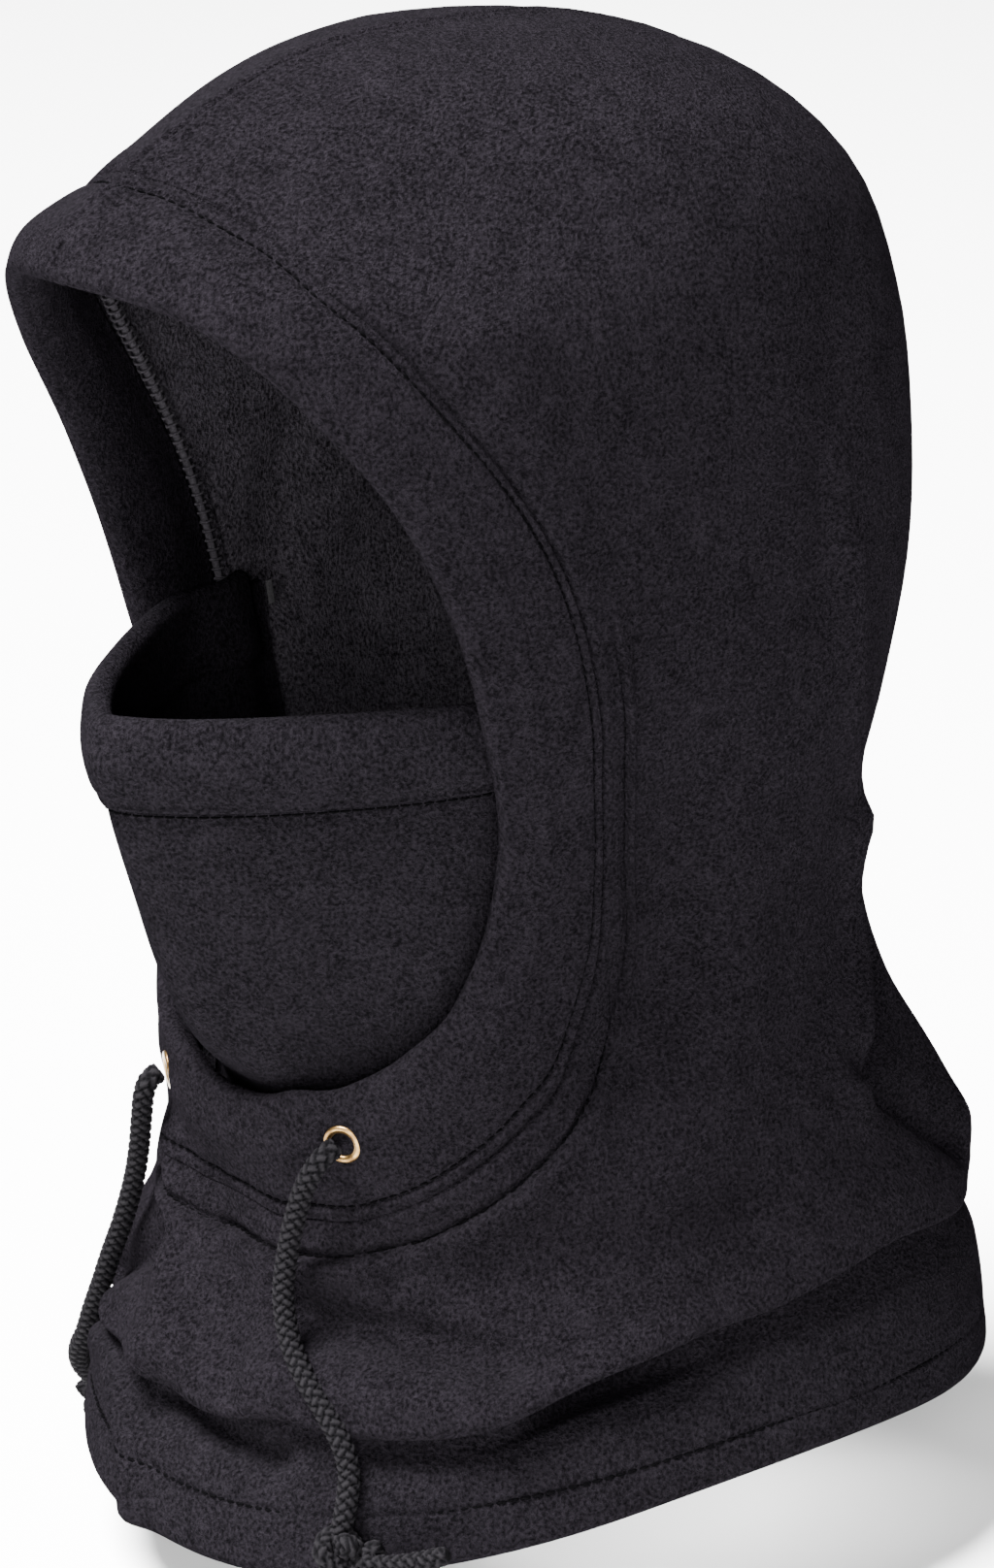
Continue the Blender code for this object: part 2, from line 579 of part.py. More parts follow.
def bar_tack(side, material):
    """A short, dense bar of stitches at the top corner of the mask, on its inner face."""
    turn = side * 88
    top = Vector(mask_point(turn, 0.015, -MASK_CLOTH - GAP - BAR_TACK[2]))
    low = Vector(mask_point(turn, 0.065, -MASK_CLOTH - GAP - BAR_TACK[2]))
    down = (low - top).normalized()
    inward = Vector(-mask_normal(turn))
    along = down.cross(inward).normalized()
    inward = along.cross(down)
    bm = bmesh.new()
    bmesh.ops.create_cube(bm, size=1.0)
    bmesh.ops.scale(bm, vec=BAR_TACK, verts=bm.verts)
    frame = Matrix((along, down, inward)).transposed().to_4x4()
    bmesh.ops.transform(bm, matrix=Matrix.Translation((top + low) / 2) @ frame, verts=bm.verts)
    new_object("bar_tack_" + ("left" if side > 0 else "right"), bm, material, False)


def main():
    clear_scene()
    materials = {
        "fleece": make_material("fleece", (0.030, 0.028, 0.034), 0.95),
        "brass": make_material("brass", (0.45, 0.30, 0.11), 0.35, 1.0),
        "cord": make_material("cord", (0.022, 0.021, 0.024), 0.8),
        "thread": make_material("thread", (0.02, 0.02, 0.022), 0.7),
    }
    for side in (1, -1):
        hood_panel(side, materials["fleece"])
        eyelet(side, materials)
        free_cord(side, materials)
        seam_overlock(side, materials["thread"])
        bar_tack(side, materials["thread"])
    face_band(materials["fleece"])
    channel_cord(materials["cord"])
    make_mask(materials)
    neck_collar(materials["fleece"])
    stitching(materials["thread"])


main()
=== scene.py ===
"""The looks of a black fleece balaclava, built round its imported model.

Metres, +Z up, the face looks along -Y and the wearer's left is +X. The cloth follows one garment
surface: rings from the crown to the hem. A place on it is an angle round the vertical axis and a level,
0 at the crown and 1 at the hem. Loops round the face are distances, in levels, from a point in the
opening. Folds, seams and padding are moved in and out from that surface in millimetre sizes.
"""
import math

import bpy
import numpy as np
from mathutils import Matrix, Vector


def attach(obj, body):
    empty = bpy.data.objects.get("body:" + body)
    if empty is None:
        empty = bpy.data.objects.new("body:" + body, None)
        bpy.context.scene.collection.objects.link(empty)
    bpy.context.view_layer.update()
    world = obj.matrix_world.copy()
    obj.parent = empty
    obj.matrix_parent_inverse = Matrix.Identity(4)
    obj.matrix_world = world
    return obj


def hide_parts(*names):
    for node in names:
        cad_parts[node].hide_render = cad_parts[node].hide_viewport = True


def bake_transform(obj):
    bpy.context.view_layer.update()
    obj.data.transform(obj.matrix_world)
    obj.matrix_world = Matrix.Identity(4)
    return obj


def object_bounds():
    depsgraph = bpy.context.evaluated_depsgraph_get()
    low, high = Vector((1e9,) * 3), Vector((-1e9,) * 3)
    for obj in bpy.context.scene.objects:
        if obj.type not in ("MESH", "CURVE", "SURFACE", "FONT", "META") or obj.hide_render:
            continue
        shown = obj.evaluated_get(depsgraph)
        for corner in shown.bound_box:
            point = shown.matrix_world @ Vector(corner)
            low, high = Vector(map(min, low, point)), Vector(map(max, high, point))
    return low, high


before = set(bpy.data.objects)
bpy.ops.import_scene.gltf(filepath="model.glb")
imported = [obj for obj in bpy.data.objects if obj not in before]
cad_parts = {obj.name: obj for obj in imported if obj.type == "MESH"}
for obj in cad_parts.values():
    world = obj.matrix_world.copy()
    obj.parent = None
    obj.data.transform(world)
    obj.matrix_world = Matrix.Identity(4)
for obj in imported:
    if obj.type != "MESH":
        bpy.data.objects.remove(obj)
CAD_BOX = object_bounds()

MM = 0.001
FLEECE = 2.6 * MM
CORD_RADIUS = 2.5 * MM
LEVEL_LENGTH = 0.40         # metres of cloth in one level, near the hem and the face

# Camera
AZIMUTH = 50
ELEVATION = 17
DISTANCE = 1.6
TARGET = (-0.0087, -0.0103, -0.2130)
LENS = 137.1                # millimetres, on a sensor 36 mm along the picture's longer side
SENSOR = 36
CLIP_NEAR = 0.05
CLIP_FAR = 100

# Lights: name, azimuth, elevation, distance, size and power
LIGHTS = (
    ("key", -14, 67, 4.0, 2.0, 2850),
    ("front_fill", 44, 14, 3.2, 1.2, 250),
)
SKY_STRENGTH = 0.45
FLOOR_GAP = 12 * MM         # under the lowest point of the model
FLOOR_HALF_WIDTH = 40.0
FLOOR_GREY = 0.93

# Fleece: cells to a metre of its broad changes of colour, its curled tufts and its fibres
BROAD_SCALE = 110
TUFT_SCALE = 1000
FIBRE_SCALE = 3200
PILE_HEIGHT = 4.0 * MM
SHEEN_TINT = (0.80, 0.76, 0.86, 1.0)

# Rings from the crown to the hem: foremost point (y, z), side point (x, y, z), rearmost point (y, z),
# and how square the front half is: 2 is an ellipse, less makes a ridge.
RINGS = (
    ((-0.038, -0.003), (0.000, -0.038, -0.003), (-0.038, -0.003), 1.40),
    ((-0.074, -0.005), (0.036, -0.032, -0.007), (0.004, -0.005), 1.40),
    ((-0.107, -0.015), (0.065, -0.023, -0.021), (0.046, -0.018), 1.40),
    ((-0.141, -0.033), (0.080, -0.014, -0.046), (0.079, -0.044), 1.45),
    ((-0.160, -0.055), (0.086, -0.008, -0.078), (0.094, -0.078), 2.00),
    ((-0.166, -0.088), (0.087, -0.002, -0.112), (0.099, -0.114), 2.25),
    ((-0.164, -0.124), (0.086, 0.000, -0.146), (0.099, -0.150), 2.35),
    ((-0.156, -0.160), (0.083, 0.000, -0.180), (0.091, -0.186), 2.40),
    ((-0.144, -0.196), (0.078, 0.000, -0.212), (0.082, -0.218), 2.40),
    ((-0.128, -0.232), (0.076, 0.000, -0.242), (0.081, -0.246), 2.30),
    ((-0.112, -0.268), (0.080, 0.000, -0.272), (0.090, -0.274), 2.20),
    ((-0.106, -0.300), (0.089, 0.000, -0.300), (0.107, -0.300), 2.15),
    ((-0.112, -0.328), (0.099, 0.000, -0.325), (0.117, -0.323), 2.15),
    ((-0.121, -0.353), (0.106, 0.000, -0.346), (0.121, -0.343), 2.15),
    ((-0.128, -0.375), (0.110, 0.000, -0.356), (0.123, -0.361), 2.15),
    ((-0.131, -0.397), (0.112, 0.000, -0.367), (0.124, -0.378), 2.15),
)
BACK_SQUARENESS = 2.15
FACE_LEVEL = 0.45

# Loops round the face: (degrees from the top of the opening, distance in levels).
OPENING_EDGE = ((0, 0.190), (20, 0.201), (40, 0.221), (55, 0.258), (70, 0.318), (80, 0.369),
                (88, 0.379), (96, 0.371), (108, 0.338), (125, 0.293), (150, 0.246), (180, 0.231))
BAND_SEAM = ((0, 0.262), (14, 0.251), (25, 0.254), (34, 0.269), (42, 0.291), (48, 0.321), (58, 0.400),
             (65, 0.458), (70, 0.500), (76, 0.529), (83, 0.526), (92, 0.492), (108, 0.432),
             (127, 0.372), (150, 0.320), (180, 0.292))
MASK_SEAM = ((52, 0.402), (59, 0.452), (65, 0.520), (70, 0.576), (76, 0.584), (84, 0.560),
             (95, 0.514), (112, 0.446), (131, 0.384), (155, 0.336), (180, 0.315))
HOOD_END = ((0, 1.270), (26, 1.190), (47, 1.032), (64, 0.898), (78, 0.780), (93, 0.679),
            (108, 0.609), (130, 0.511), (155, 0.440), (180, 0.428))
HOOD_END_LEVEL = ((0, 0.878), (12, 0.871), (26, 0.872), (42, 0.862), (54, 0.836), (69, 0.820),
                  (86, 0.805), (109, 0.795), (140, 0.807), (180, 0.820))
TOPSTITCH_SHARE = 0.88      # across the face band, from its folded edge to its seam
CORD_SHARE = 0.36
EYELET_ANGLE = 130
CROWN_SEAM_REACH = 60       # degrees each side of the top, where the crown seam can lie
CHIN_FADE = ((0, 1.0), (95, 1.0), (125, 0.4), (180, 0.4))   # of the groove at the band's seam
TRAVEL_RADIUS = 0.12        # metres, to make a distance of an angle round the garment
EYELET_ARC = 0.115 / 57.3   # metres of cloth in a degree round the face, at the eyelets
EYELET_DIMPLE = 9 * MM      # half-width of the cloth pressed flat round an eyelet
BAND_ROLL_SHARE = 0.06      # across the face band, where its rolled edge starts
OVERHANG_ANGLE = 58         # degrees from the front of the hood's longest overhang above the collar
COLLAR_TUCK = 0.045         # levels that the collar runs up inside the hood
COLLAR_FOLD_LEVEL = 0.988
HEM_STITCH_LEVEL = 0.945

# Relief beside a line, in millimetres: how far the cloth is pushed out, how far from the line, half-width
CROWN_WELT = (0.7, 2.6, 2.2)
CROWN_GROOVE = (-1.0, 0.0, 1.0)
BAND_GROOVE = (-1.5, 0.0, 1.3)
BAND_EDGE_GROOVE = (-1.5, 0.0, 1.2)
BAND_WELT = (0.4, 4.0, 3.0)
TOPSTITCH_GROOVE = (-0.9, 0.0, 0.9)
CORD_BULGE = (0.7, 0.0, 4.5)
MASK_GROOVE = (-2.2, 0.0, 1.3)
MASK_HOLLOW = (-1.4, 0.0, 9.0)
MASK_WELT = (1.7, 3.0, 5.0)
OVERHANG = (5.0, 0.0, 13.0)
MASK_HEM_STEP = (-0.8, 0.0, 2.5)
MASK_HEM_GROOVE = (-0.9, -2.2, 1.2)
COLLAR_HEM_GROOVE = (-0.5, 0.0, 1.2)

# Mask rows from its top edge down: front (y, z) and side (x, y, z), before it settles inside.
MASK_ROWS = (
    ((-0.1465, -0.170), (0.079, -0.039, -0.163)),
    ((-0.1435, -0.192), (0.080, -0.039, -0.182)),
    ((-0.1345, -0.220), (0.080, -0.038, -0.204)),
    ((-0.1250, -0.246), (0.080, -0.038, -0.222)),
    ((-0.1120, -0.268), (0.080, -0.040, -0.238)),
    ((-0.0985, -0.287), (0.080, -0.043, -0.252)),
    ((-0.0990, -0.303), (0.080, -0.047, -0.264)),
)
MASK_WEDGE = 1.45           # 1 is an ellipse in plan, 2 a straight-sided wedge
MASK_HEIGHT = 0.155
MASK_HEM = 0.161            # the folded hem's height, as a share of the mask's
MASK_CLOTH = 2.2 * MM
MASK_RADIUS = 0.1           # metres, to make a distance of an angle round the mask
HEM_REACH = 79              # degrees each side of the mask's middle that its hem strip runs
TURNED_ROWS = 5             # of the hem strip's points, on each of its turned-under edges
HEM_THICKNESS = 3.0 * MM
HEM_EDGE_THICKNESS = 1.3 * MM

# How far inside the hood's outer face the mask lies, by its place across the face band
MASK_DEPTH = ((-1.8, -0.012), (-0.6, -0.002), (-0.25, 0.004), (0.0, 0.0095), (0.25, 0.0135), (0.42, 0.0145),
              (0.75, 0.0120), (1.0, 0.0090), (1.35, 0.0070), (2.0, 0.0056))

# Free cords, from the eyelet's mouth to the knot: points on each centre line.
CORD_ROUTE_LEFT = (
    (0.0374, -0.1032, -0.2812), (0.0372, -0.1062, -0.2828), (0.0356, -0.1086, -0.2864),
    (0.0332, -0.1100, -0.2922), (0.0312, -0.1110, -0.2990), (0.0292, -0.1124, -0.3100),
    (0.0295, -0.1142, -0.3222), (0.0338, -0.1154, -0.3330), (0.0405, -0.1158, -0.3408),
    (0.0472, -0.1150, -0.3478), (0.0528, -0.1142, -0.3548), (0.0560, -0.1142, -0.3620),
    (0.0578, -0.1164, -0.3690), (0.0584, -0.1184, -0.3752), (0.0586, -0.1198, -0.3800),
)
CORD_ROUTE_RIGHT = (
    (-0.0374, -0.1032, -0.2812), (-0.0380, -0.1060, -0.2830), (-0.0394, -0.1068, -0.2870),
    (-0.0416, -0.1060, -0.2936), (-0.0446, -0.1046, -0.3020), (-0.0480, -0.1034, -0.3110),
    (-0.0520, -0.1028, -0.3206), (-0.0568, -0.1026, -0.3310), (-0.0622, -0.1024, -0.3412),
    (-0.0678, -0.1014, -0.3510), (-0.0734, -0.1004, -0.3602), (-0.0790, -0.0988, -0.3690),
    (-0.0856, -0.0966, -0.3770), (-0.0906, -0.0924, -0.3842), (-0.0930, -0.0864, -0.3908),
    (-0.0938, -0.0808, -0.3966),
)
BRAID_STRANDS = 8
BRAID_STEP = 2.9 * MM       # along the cord from one crossing of two strands to the next
BRAID_HEIGHT = 0.85 * MM    # of a strand's crest over the dip beside it
BRAID_SINK = 0.35 * MM      # of that dip, under the cord's nominal surface
CORD_SIDES = 40
KNOT_SIDES = 32

# Knots, in millimetres from the cord's end: the knot's middle, where its tail starts, and the tail from there
KNOT_SIZE = 2.4 * MM
KNOT_RADIUS = 2.3 * MM
KNOT_MIDDLE = (3.0, 1.0, -2.4)
TAIL_START = (2.0, 0.8, -1.6)
TAIL = ((4.0, 1.5, -1.5), (10.0, 5.0, -1.5), (17.0, 9.5, 0.5), (24.0, 14.0, 3.5))

# Eyelets, in millimetres: radius and height of the rolled rim's middle, its size, and the barrel's profile
RIM_MIDDLE = (4.30, 0.75)
RIM_SIZE = (1.05, 0.85)
BARREL = [(3.15, -2.6), (3.5, -2.6), (3.75, -0.3), (5.2, 0.1)]
EYELET_STEPS = 72

# Thread
STITCH_PITCH = 3.0 * MM
LONG_PITCH = 3.2 * MM
STITCH_SHARE = 0.80         # of the pitch, that each stitch covers
STITCH_SINK = 0.45 * MM
THREAD_RADIUS = 0.36 * MM
LOOP_PITCH = 2.8 * MM       # along an overlocked edge from one loop of thread to the next
OVERLOCK_SETBACK = 0.0125   # levels from the band's seam to the overlocked edge
TACK_DEPTH = 3.4 * MM       # of the bar tacks, behind the mask's cloth
TACK_TURNS = 16
TACK_SWAY = 1.1 * MM

# Folds of the cloth: places (degrees from the front, level), half-width and height, in millimetres.
FOLD_STRENGTH = 1.6
FOLDS = (
    (((14, 0.800), (17, 0.805), (27, 0.806), (37, 0.815), (44, 0.822)), 6.5, -4.5),
    (((12, 0.842), (24, 0.838), (36, 0.845), (44, 0.848)), 9.0, 2.2),
    (((30, 0.770), (40, 0.775), (55, 0.765), (70, 0.762), (84, 0.752)), 13.0, -3.4),
    (((-20, 0.735), (-16, 0.768), (-12, 0.800), (-7, 0.835), (-8, 0.862)), 7.0, 3.0),
    (((-8, 0.742), (-2, 0.775), (4, 0.812), (6, 0.845)), 8.0, -2.0),
    (((-16, 0.788), (-24, 0.822), (-34, 0.860)), 5.5, -3.4),
    (((-30, 0.905), (-22, 0.897), (-14, 0.915), (-9, 0.945), (-7, 0.985)), 6.0, 2.8),
    (((-5, 0.886), (3, 0.893), (9, 0.899), (15, 0.902)), 4.0, -2.6),
    (((45, 0.270), (48, 0.310), (51, 0.345), (56, 0.405), (59, 0.450)), 13.0, 1.8),
    (((76, 0.500), (74, 0.530), (76, 0.570), (71, 0.612), (64, 0.650)), 16.0, -3.0),
    (((88, 0.545), (89, 0.600), (84, 0.650), (76, 0.700)), 15.0, 2.2),
    (((118, 0.240), (113, 0.262), (109, 0.305), (106, 0.360), (104, 0.400)), 11.0, -1.5),
    (((131, 0.545), (133, 0.580), (133, 0.630), (126, 0.675), (119, 0.700)), 7.5, 3.6),
    (((141, 0.560), (142, 0.600), (141, 0.645), (132, 0.690)), 8.0, -4.2),
    (((121, 0.690), (127, 0.712), (134, 0.738), (142, 0.780)), 5.5, -4.0),
    (((152, 0.600), (153, 0.660), (152, 0.720), (150, 0.770)), 12.0, 4.0),
    (((-100, 0.760), (-80, 0.772), (-62, 0.768)), 12.0, -3.0),
    (((-133, 0.560), (-134, 0.620), (-129, 0.680)), 8.0, 3.2),
    (((-142, 0.570), (-142, 0.640), (-134, 0.700)), 8.0, -3.6),
    (((178, 0.640), (180, 0.690), (182, 0.730)), 15.0, -2.6),
    (((-76, 0.500), (-75, 0.560), (-70, 0.620)), 16.0, -2.5),
    (((-72, 0.470), (-84, 0.420), (-98, 0.370), (-112, 0.330)), 9.0, -2.2),
    (((-70, 0.440), (-78, 0.360), (-88, 0.290)), 8.0, 1.8),
    (((109, 0.330), (115, 0.420), (125, 0.500), (136, 0.560)), 6.0, 1.2),
)


# Camera, lights and floor

def direction(azimuth, elevation):
    turn = math.radians(azimuth)
    rise = math.radians(elevation)
    return Vector((math.sin(turn) * math.cos(rise), -math.cos(turn) * math.cos(rise), math.sin(rise)))


def aim(name, data, azimuth, elevation, distance):
    """A camera or light at a distance from the target, facing it."""
    thing = bpy.data.objects.new(name, data)
    bpy.context.scene.collection.objects.link(thing)
    out = direction(azimuth, elevation)
    thing.location = Vector(TARGET) + out * distance
    thing.rotation_mode = "QUATERNION"
    thing.rotation_quaternion = (-out).to_track_quat("-Z", "Y")
    return thing


def make_camera():
    data = bpy.data.cameras.new("camera")
    data.lens = LENS
    data.sensor_width = SENSOR
    data.clip_start = CLIP_NEAR
    data.clip_end = CLIP_FAR
    bpy.context.scene.camera = aim("camera", data, AZIMUTH, ELEVATION, DISTANCE)


def make_area_light(name, azimuth, elevation, distance, size, power):
    data = bpy.data.lights.new(name, "AREA")
    data.shape = "DISK"
    data.size = size
    data.energy = power
    aim(name, data, azimuth, elevation, distance)


def make_world():
    world = bpy.data.worlds.new("studio")
    world.use_nodes = True
    background = world.node_tree.nodes["Background"]
    background.inputs["Color"].default_value = (1.0, 1.0, 1.0, 1.0)
    background.inputs["Strength"].default_value = SKY_STRENGTH
    bpy.context.scene.world = world


def make_floor():
    height = CAD_BOX[0].z - FLOOR_GAP
    half = FLOOR_HALF_WIDTH
    mesh = bpy.data.meshes.new("floor")
    mesh.from_pydata([(-half, -half, height), (half, -half, height), (half, half, height),
                      (-half, half, height)], [], [(0, 1, 2, 3)])
    floor = bpy.data.objects.new("floor", mesh)
    bpy.context.scene.collection.objects.link(floor)
    material, shader = new_material("floor_pale", 0.9)
    shader.inputs["Base Color"].default_value = (FLOOR_GREY, FLOOR_GREY, FLOOR_GREY, 1.0)
    mesh.materials.append(material)


# Materials

def new_material(name, roughness, metallic=0.0):
    material = bpy.data.materials.new(name)
    material.use_nodes = True
    shader = material.node_tree.nodes["Principled BSDF"]
    shader.inputs["Roughness"].default_value = roughness
    shader.inputs["Metallic"].default_value = metallic
    return material, shader


def start_nodes(material):
    """A material's node tree, and the object coordinates that its textures read."""
    tree = material.node_tree
    return tree, tree.nodes.new("ShaderNodeTexCoord").outputs["Object"]


def add_noise(tree, place, scale, detail, roughness=0.55):
    noise = tree.nodes.new("ShaderNodeTexNoise")
    noise.inputs["Scale"].default_value = scale
    noise.inputs["Detail"].default_value = detail
    noise.inputs["Roughness"].default_value = roughness
    tree.links.new(place, noise.inputs["Vector"])
    return noise.outputs["Fac"]


def add_ramp(tree, value, stops):
    ramp = tree.nodes.new("ShaderNodeValToRGB")
    while len(ramp.color_ramp.elements) < len(stops):
        ramp.color_ramp.elements.new(0.5)
    for element, (spot, colour) in zip(ramp.color_ramp.elements, stops):
        element.position = spot
        element.color = (*colour, 1.0)
    tree.links.new(value, ramp.inputs["Fac"])
    return ramp.outputs["Color"]


def add_math(tree, operation, first, second):
    node = tree.nodes.new("ShaderNodeMath")
    node.operation = operation
    for socket, value in zip(node.inputs, (first, second)):
        if isinstance(value, (int, float)):
            socket.default_value = value
        else:
            tree.links.new(value, socket)
    return node.outputs["Value"]


def add_weighted(tree, first, first_share, second, second_share):
    return add_math(tree, "ADD", add_math(tree, "MULTIPLY", first, first_share),
                    add_math(tree, "MULTIPLY", second, second_share))


def join_looks(tree, shader, colour, height, distance, strength):
    """Give a shader its colour, and a bump from a height."""
    tree.links.new(colour, shader.inputs["Base Color"])
    bump = tree.nodes.new("ShaderNodeBump")
    bump.inputs["Distance"].default_value = distance
    bump.inputs["Strength"].default_value = strength
    tree.links.new(height, bump.inputs["Height"])
    tree.links.new(bump.outputs["Normal"], shader.inputs["Normal"])


def make_fleece(name, dark, light, sheen):
    """Brushed fleece: curled pile about a millimetre across, over broad, faint changes of colour."""
    material, shader = new_material(name, 0.92)
    tree, place = start_nodes(material)
    broad = add_noise(tree, place, BROAD_SCALE, 4, 0.6)
    tufts = add_noise(tree, place, TUFT_SCALE, 2, 0.5)
    fibres = add_noise(tree, place, FIBRE_SCALE, 2, 0.7)
    pile = add_weighted(tree, tufts, 0.7, fibres, 0.3)
    mixed = add_weighted(tree, pile, 0.84, broad, 0.16)
    colour = add_ramp(tree, mixed, ((0.38, dark), (0.62, light)))
    join_looks(tree, shader, colour, pile, PILE_HEIGHT, 1.0)
    shader.inputs["Specular IOR Level"].default_value = 0.0
    shader.inputs["Sheen Weight"].default_value = sheen
    shader.inputs["Sheen Roughness"].default_value = 0.5
    shader.inputs["Sheen Tint"].default_value = SHEEN_TINT
    return material


def make_cord_material():
    material, shader = new_material("braided_cord", 0.75)
    tree, place = start_nodes(material)
    fibre = add_noise(tree, place, 2600, 3, 0.6)
    # Colour from the strand heights: the dips between strands are painted near black and the crests lighter,
    # as painted shade; the fibre noise is the cord's own grain.
    height = tree.nodes.new("ShaderNodeAttribute")
    height.attribute_name = "strand_height"
    mixed = add_weighted(tree, fibre, 0.45, height.outputs["Fac"], 0.55)
    colour = add_ramp(tree, mixed, ((0.30, (0.0003, 0.0003, 0.00035)),
                                    (0.60, (0.0024, 0.0022, 0.0026)),
                                    (0.85, (0.0068, 0.0063, 0.0070))))
    join_looks(tree, shader, colour, fibre, 0.3 * MM, 0.7)
    shader.inputs["Specular IOR Level"].default_value = 0.01
    return material


def make_thread_material(name, dark, light):
    material, shader = new_material(name, 0.8)
    shader.inputs["Specular IOR Level"].default_value = 0.0
    tree, place = start_nodes(material)
    twist = add_noise(tree, place, 3200, 2)
    colour = add_ramp(tree, twist, ((0.35, dark), (0.65, light)))
    join_looks(tree, shader, colour, twist, 0.15 * MM, 0.6)
    return material


def make_brass():
    """Antique brass: a warm metal with brown tarnish in broad patches and a fine grain."""
    material, shader = new_material("antique_brass", 0.34, 1.0)
    tree, place = start_nodes(material)
    patches = add_noise(tree, place, 420, 4, 0.6)
    grain = add_noise(tree, place, 2600, 2)
    colour = add_ramp(tree, patches, ((0.30, (0.06, 0.032, 0.012)), (0.50, (0.15, 0.088, 0.032)),
                                      (0.72, (0.26, 0.165, 0.065))))
    join_looks(tree, shader, colour, grain, 0.05 * MM, 0.35)
    rough = add_math(tree, "ADD", add_math(tree, "MULTIPLY", patches, -0.25), 0.46)
    tree.links.new(rough, shader.inputs["Roughness"])
    return material


# Smooth curves through short tables

def smooth_value(table, where):
    """Cubic curve through (position, value) pairs that never overshoots them, level at both ends."""
    spots = np.array([row[0] for row in table], float)
    values = np.array([row[1] for row in table], float)
    rise = np.diff(values) / np.diff(spots)
    slopes = np.zeros(len(spots))
    for i in range(1, len(spots) - 1):
        if rise[i - 1] * rise[i] > 0:
            slopes[i] = 2 * rise[i - 1] * rise[i] / (rise[i - 1] + rise[i])
    where = np.clip(where, spots[0], spots[-1])
    left = np.clip(np.searchsorted(spots, where, side="right") - 1, 0, len(spots) - 2)
    width = spots[left + 1] - spots[left]
    t = (where - spots[left]) / width
    return ((2 * t**3 - 3 * t**2 + 1) * values[left] + (t**3 - 2 * t**2 + t) * width * slopes[left]
            + (3 * t**2 - 2 * t**3) * values[left + 1] + (t**3 - t**2) * width * slopes[left + 1])


def unit(vectors):
    return vectors / np.linalg.norm(vectors, axis=-1, keepdims=True)


def smooth_step(t):
    return t * t * (3 - 2 * t)


def cubic(a, b, c, d, t):
    """The Catmull-Rom curve from b to c, where t runs from 0 to 1."""
    return 0.5 * (2 * b + (c - a) * t + (2 * a - 5 * b + 4 * c - d) * t**2 + (3 * b - a - 3 * c + d) * t**3)


def catmull(points, place):
    """Points on the Catmull-Rom curve through the points; place runs from 0 to 1."""
    points = np.asarray(points, float)
    padded = np.vstack([2 * points[0] - points[1], points, 2 * points[-1] - points[-2]])
    spot = np.clip(np.asarray(place, float), 0.0, 1.0) * (len(points) - 1)
    i = np.minimum(spot.astype(int), len(points) - 2)
    t = (spot - i)[..., None]
    return cubic(padded[i], padded[i + 1], padded[i + 2], padded[i + 3], t)


def travel_along(line):
    """How far along a line each of its points is."""
    return np.concatenate([[0.0], np.cumsum(np.linalg.norm(np.diff(line, axis=0), axis=1))])


def read_along(vectors, travel, marks):
    """Vectors known at the distances in travel, read at the distances in marks."""
    return np.stack([np.interp(marks, travel, vectors[:, axis]) for axis in range(3)], axis=-1)


def even_points(route, spacing):
    fine = catmull(route, np.linspace(0.0, 1.0, 1200))
    travel = travel_along(fine)
    marks = np.linspace(0.0, travel[-1], max(2, round(travel[-1] / spacing)) + 1)
    return read_along(fine, travel, marks)


# The garment surface. Every function takes arrays.

def ring_table():
    rows = [[*front, *side, *back, square] for front, side, back, square in RINGS]
    front, side, back, square = RINGS[1]
    before = [*back, -side[0], side[1], side[2], *front, square]
    return np.array([before, *rows, list(2 * np.array(rows[-1]) - np.array(rows[-2]))])


RING_TABLE = ring_table()


def surface(angle, level):
    """Outer face of the garment at an angle (radians from the front) and a level."""
    spot = np.clip(level, 0.0, 1.0) * (len(RINGS) - 1)
    i = np.minimum(spot.astype(int), len(RINGS) - 2)
    t = (spot - i)[..., None]
    ring = cubic(RING_TABLE[i], RING_TABLE[i + 1], RING_TABLE[i + 2], RING_TABLE[i + 3], t)
    front_y, front_z, side_x, side_y, side_z, back_y, back_z, front_square = np.moveaxis(ring, -1, 0)
    ahead = np.cos(angle)
    front = ahead > 0
    reach = np.where(front, side_y - front_y, back_y - side_y)
    end_z = np.where(front, front_z, back_z)
    power = np.where(front, front_square, BACK_SQUARENESS)
    side_term = (np.abs(np.sin(angle)) / np.maximum(side_x, 1e-6))**power
    radius = (side_term + (np.abs(ahead) / np.maximum(reach, 1e-6))**power)**(-1 / power)
    return np.stack([radius * np.sin(angle), side_y - radius * ahead,
                     side_z + (end_z - side_z) * ahead**2], axis=-1)


def disc_surface(across, along):
    return surface(np.arctan2(across, -along), np.hypot(across, along))


def cloth_place(across, along):
    """Points of the surface at places in the disc, and the normals there."""
    step = 0.004
    run = disc_surface(across + step, along) - disc_surface(across - step, along)
    rise = disc_surface(across, along + step) - disc_surface(across, along - step)
    return disc_surface(across, along), unit(np.cross(run, rise))


def face_place(turn, distance):
    """Points and normals at turns round the face (degrees from its top) and distances."""
    angle = np.radians(turn)
    return cloth_place(distance * np.sin(angle), distance * np.cos(angle) - FACE_LEVEL)


def neck_place(angle, level):
    return cloth_place(level * np.sin(angle), -level * np.cos(angle))


def loop_distance(table, turn):
    return smooth_value(table, np.abs(turn))


def band_place(turn, share):
    inner = loop_distance(OPENING_EDGE, turn)
    outer = loop_distance(BAND_SEAM, turn)
    return face_place(turn, inner + share * (outer - inner))


def bell(value, width):
    return np.exp(-(value / width)**2)


def crease(shape, gap):
    """The relief beside a line, at places gap metres from it."""
    height, offset, width = shape
    return height * MM * bell(gap - offset * MM, width * MM)


def ripple(place, lengths, seed):
    """A gentle, irregular wave along a distance in metres; its size is about 1."""
    total = np.zeros_like(place)
    for k, length in enumerate(lengths):
        total = total + np.sin(2 * math.pi * place / length + 1.7 * seed + 2.4 * k) / len(lengths)
    return total


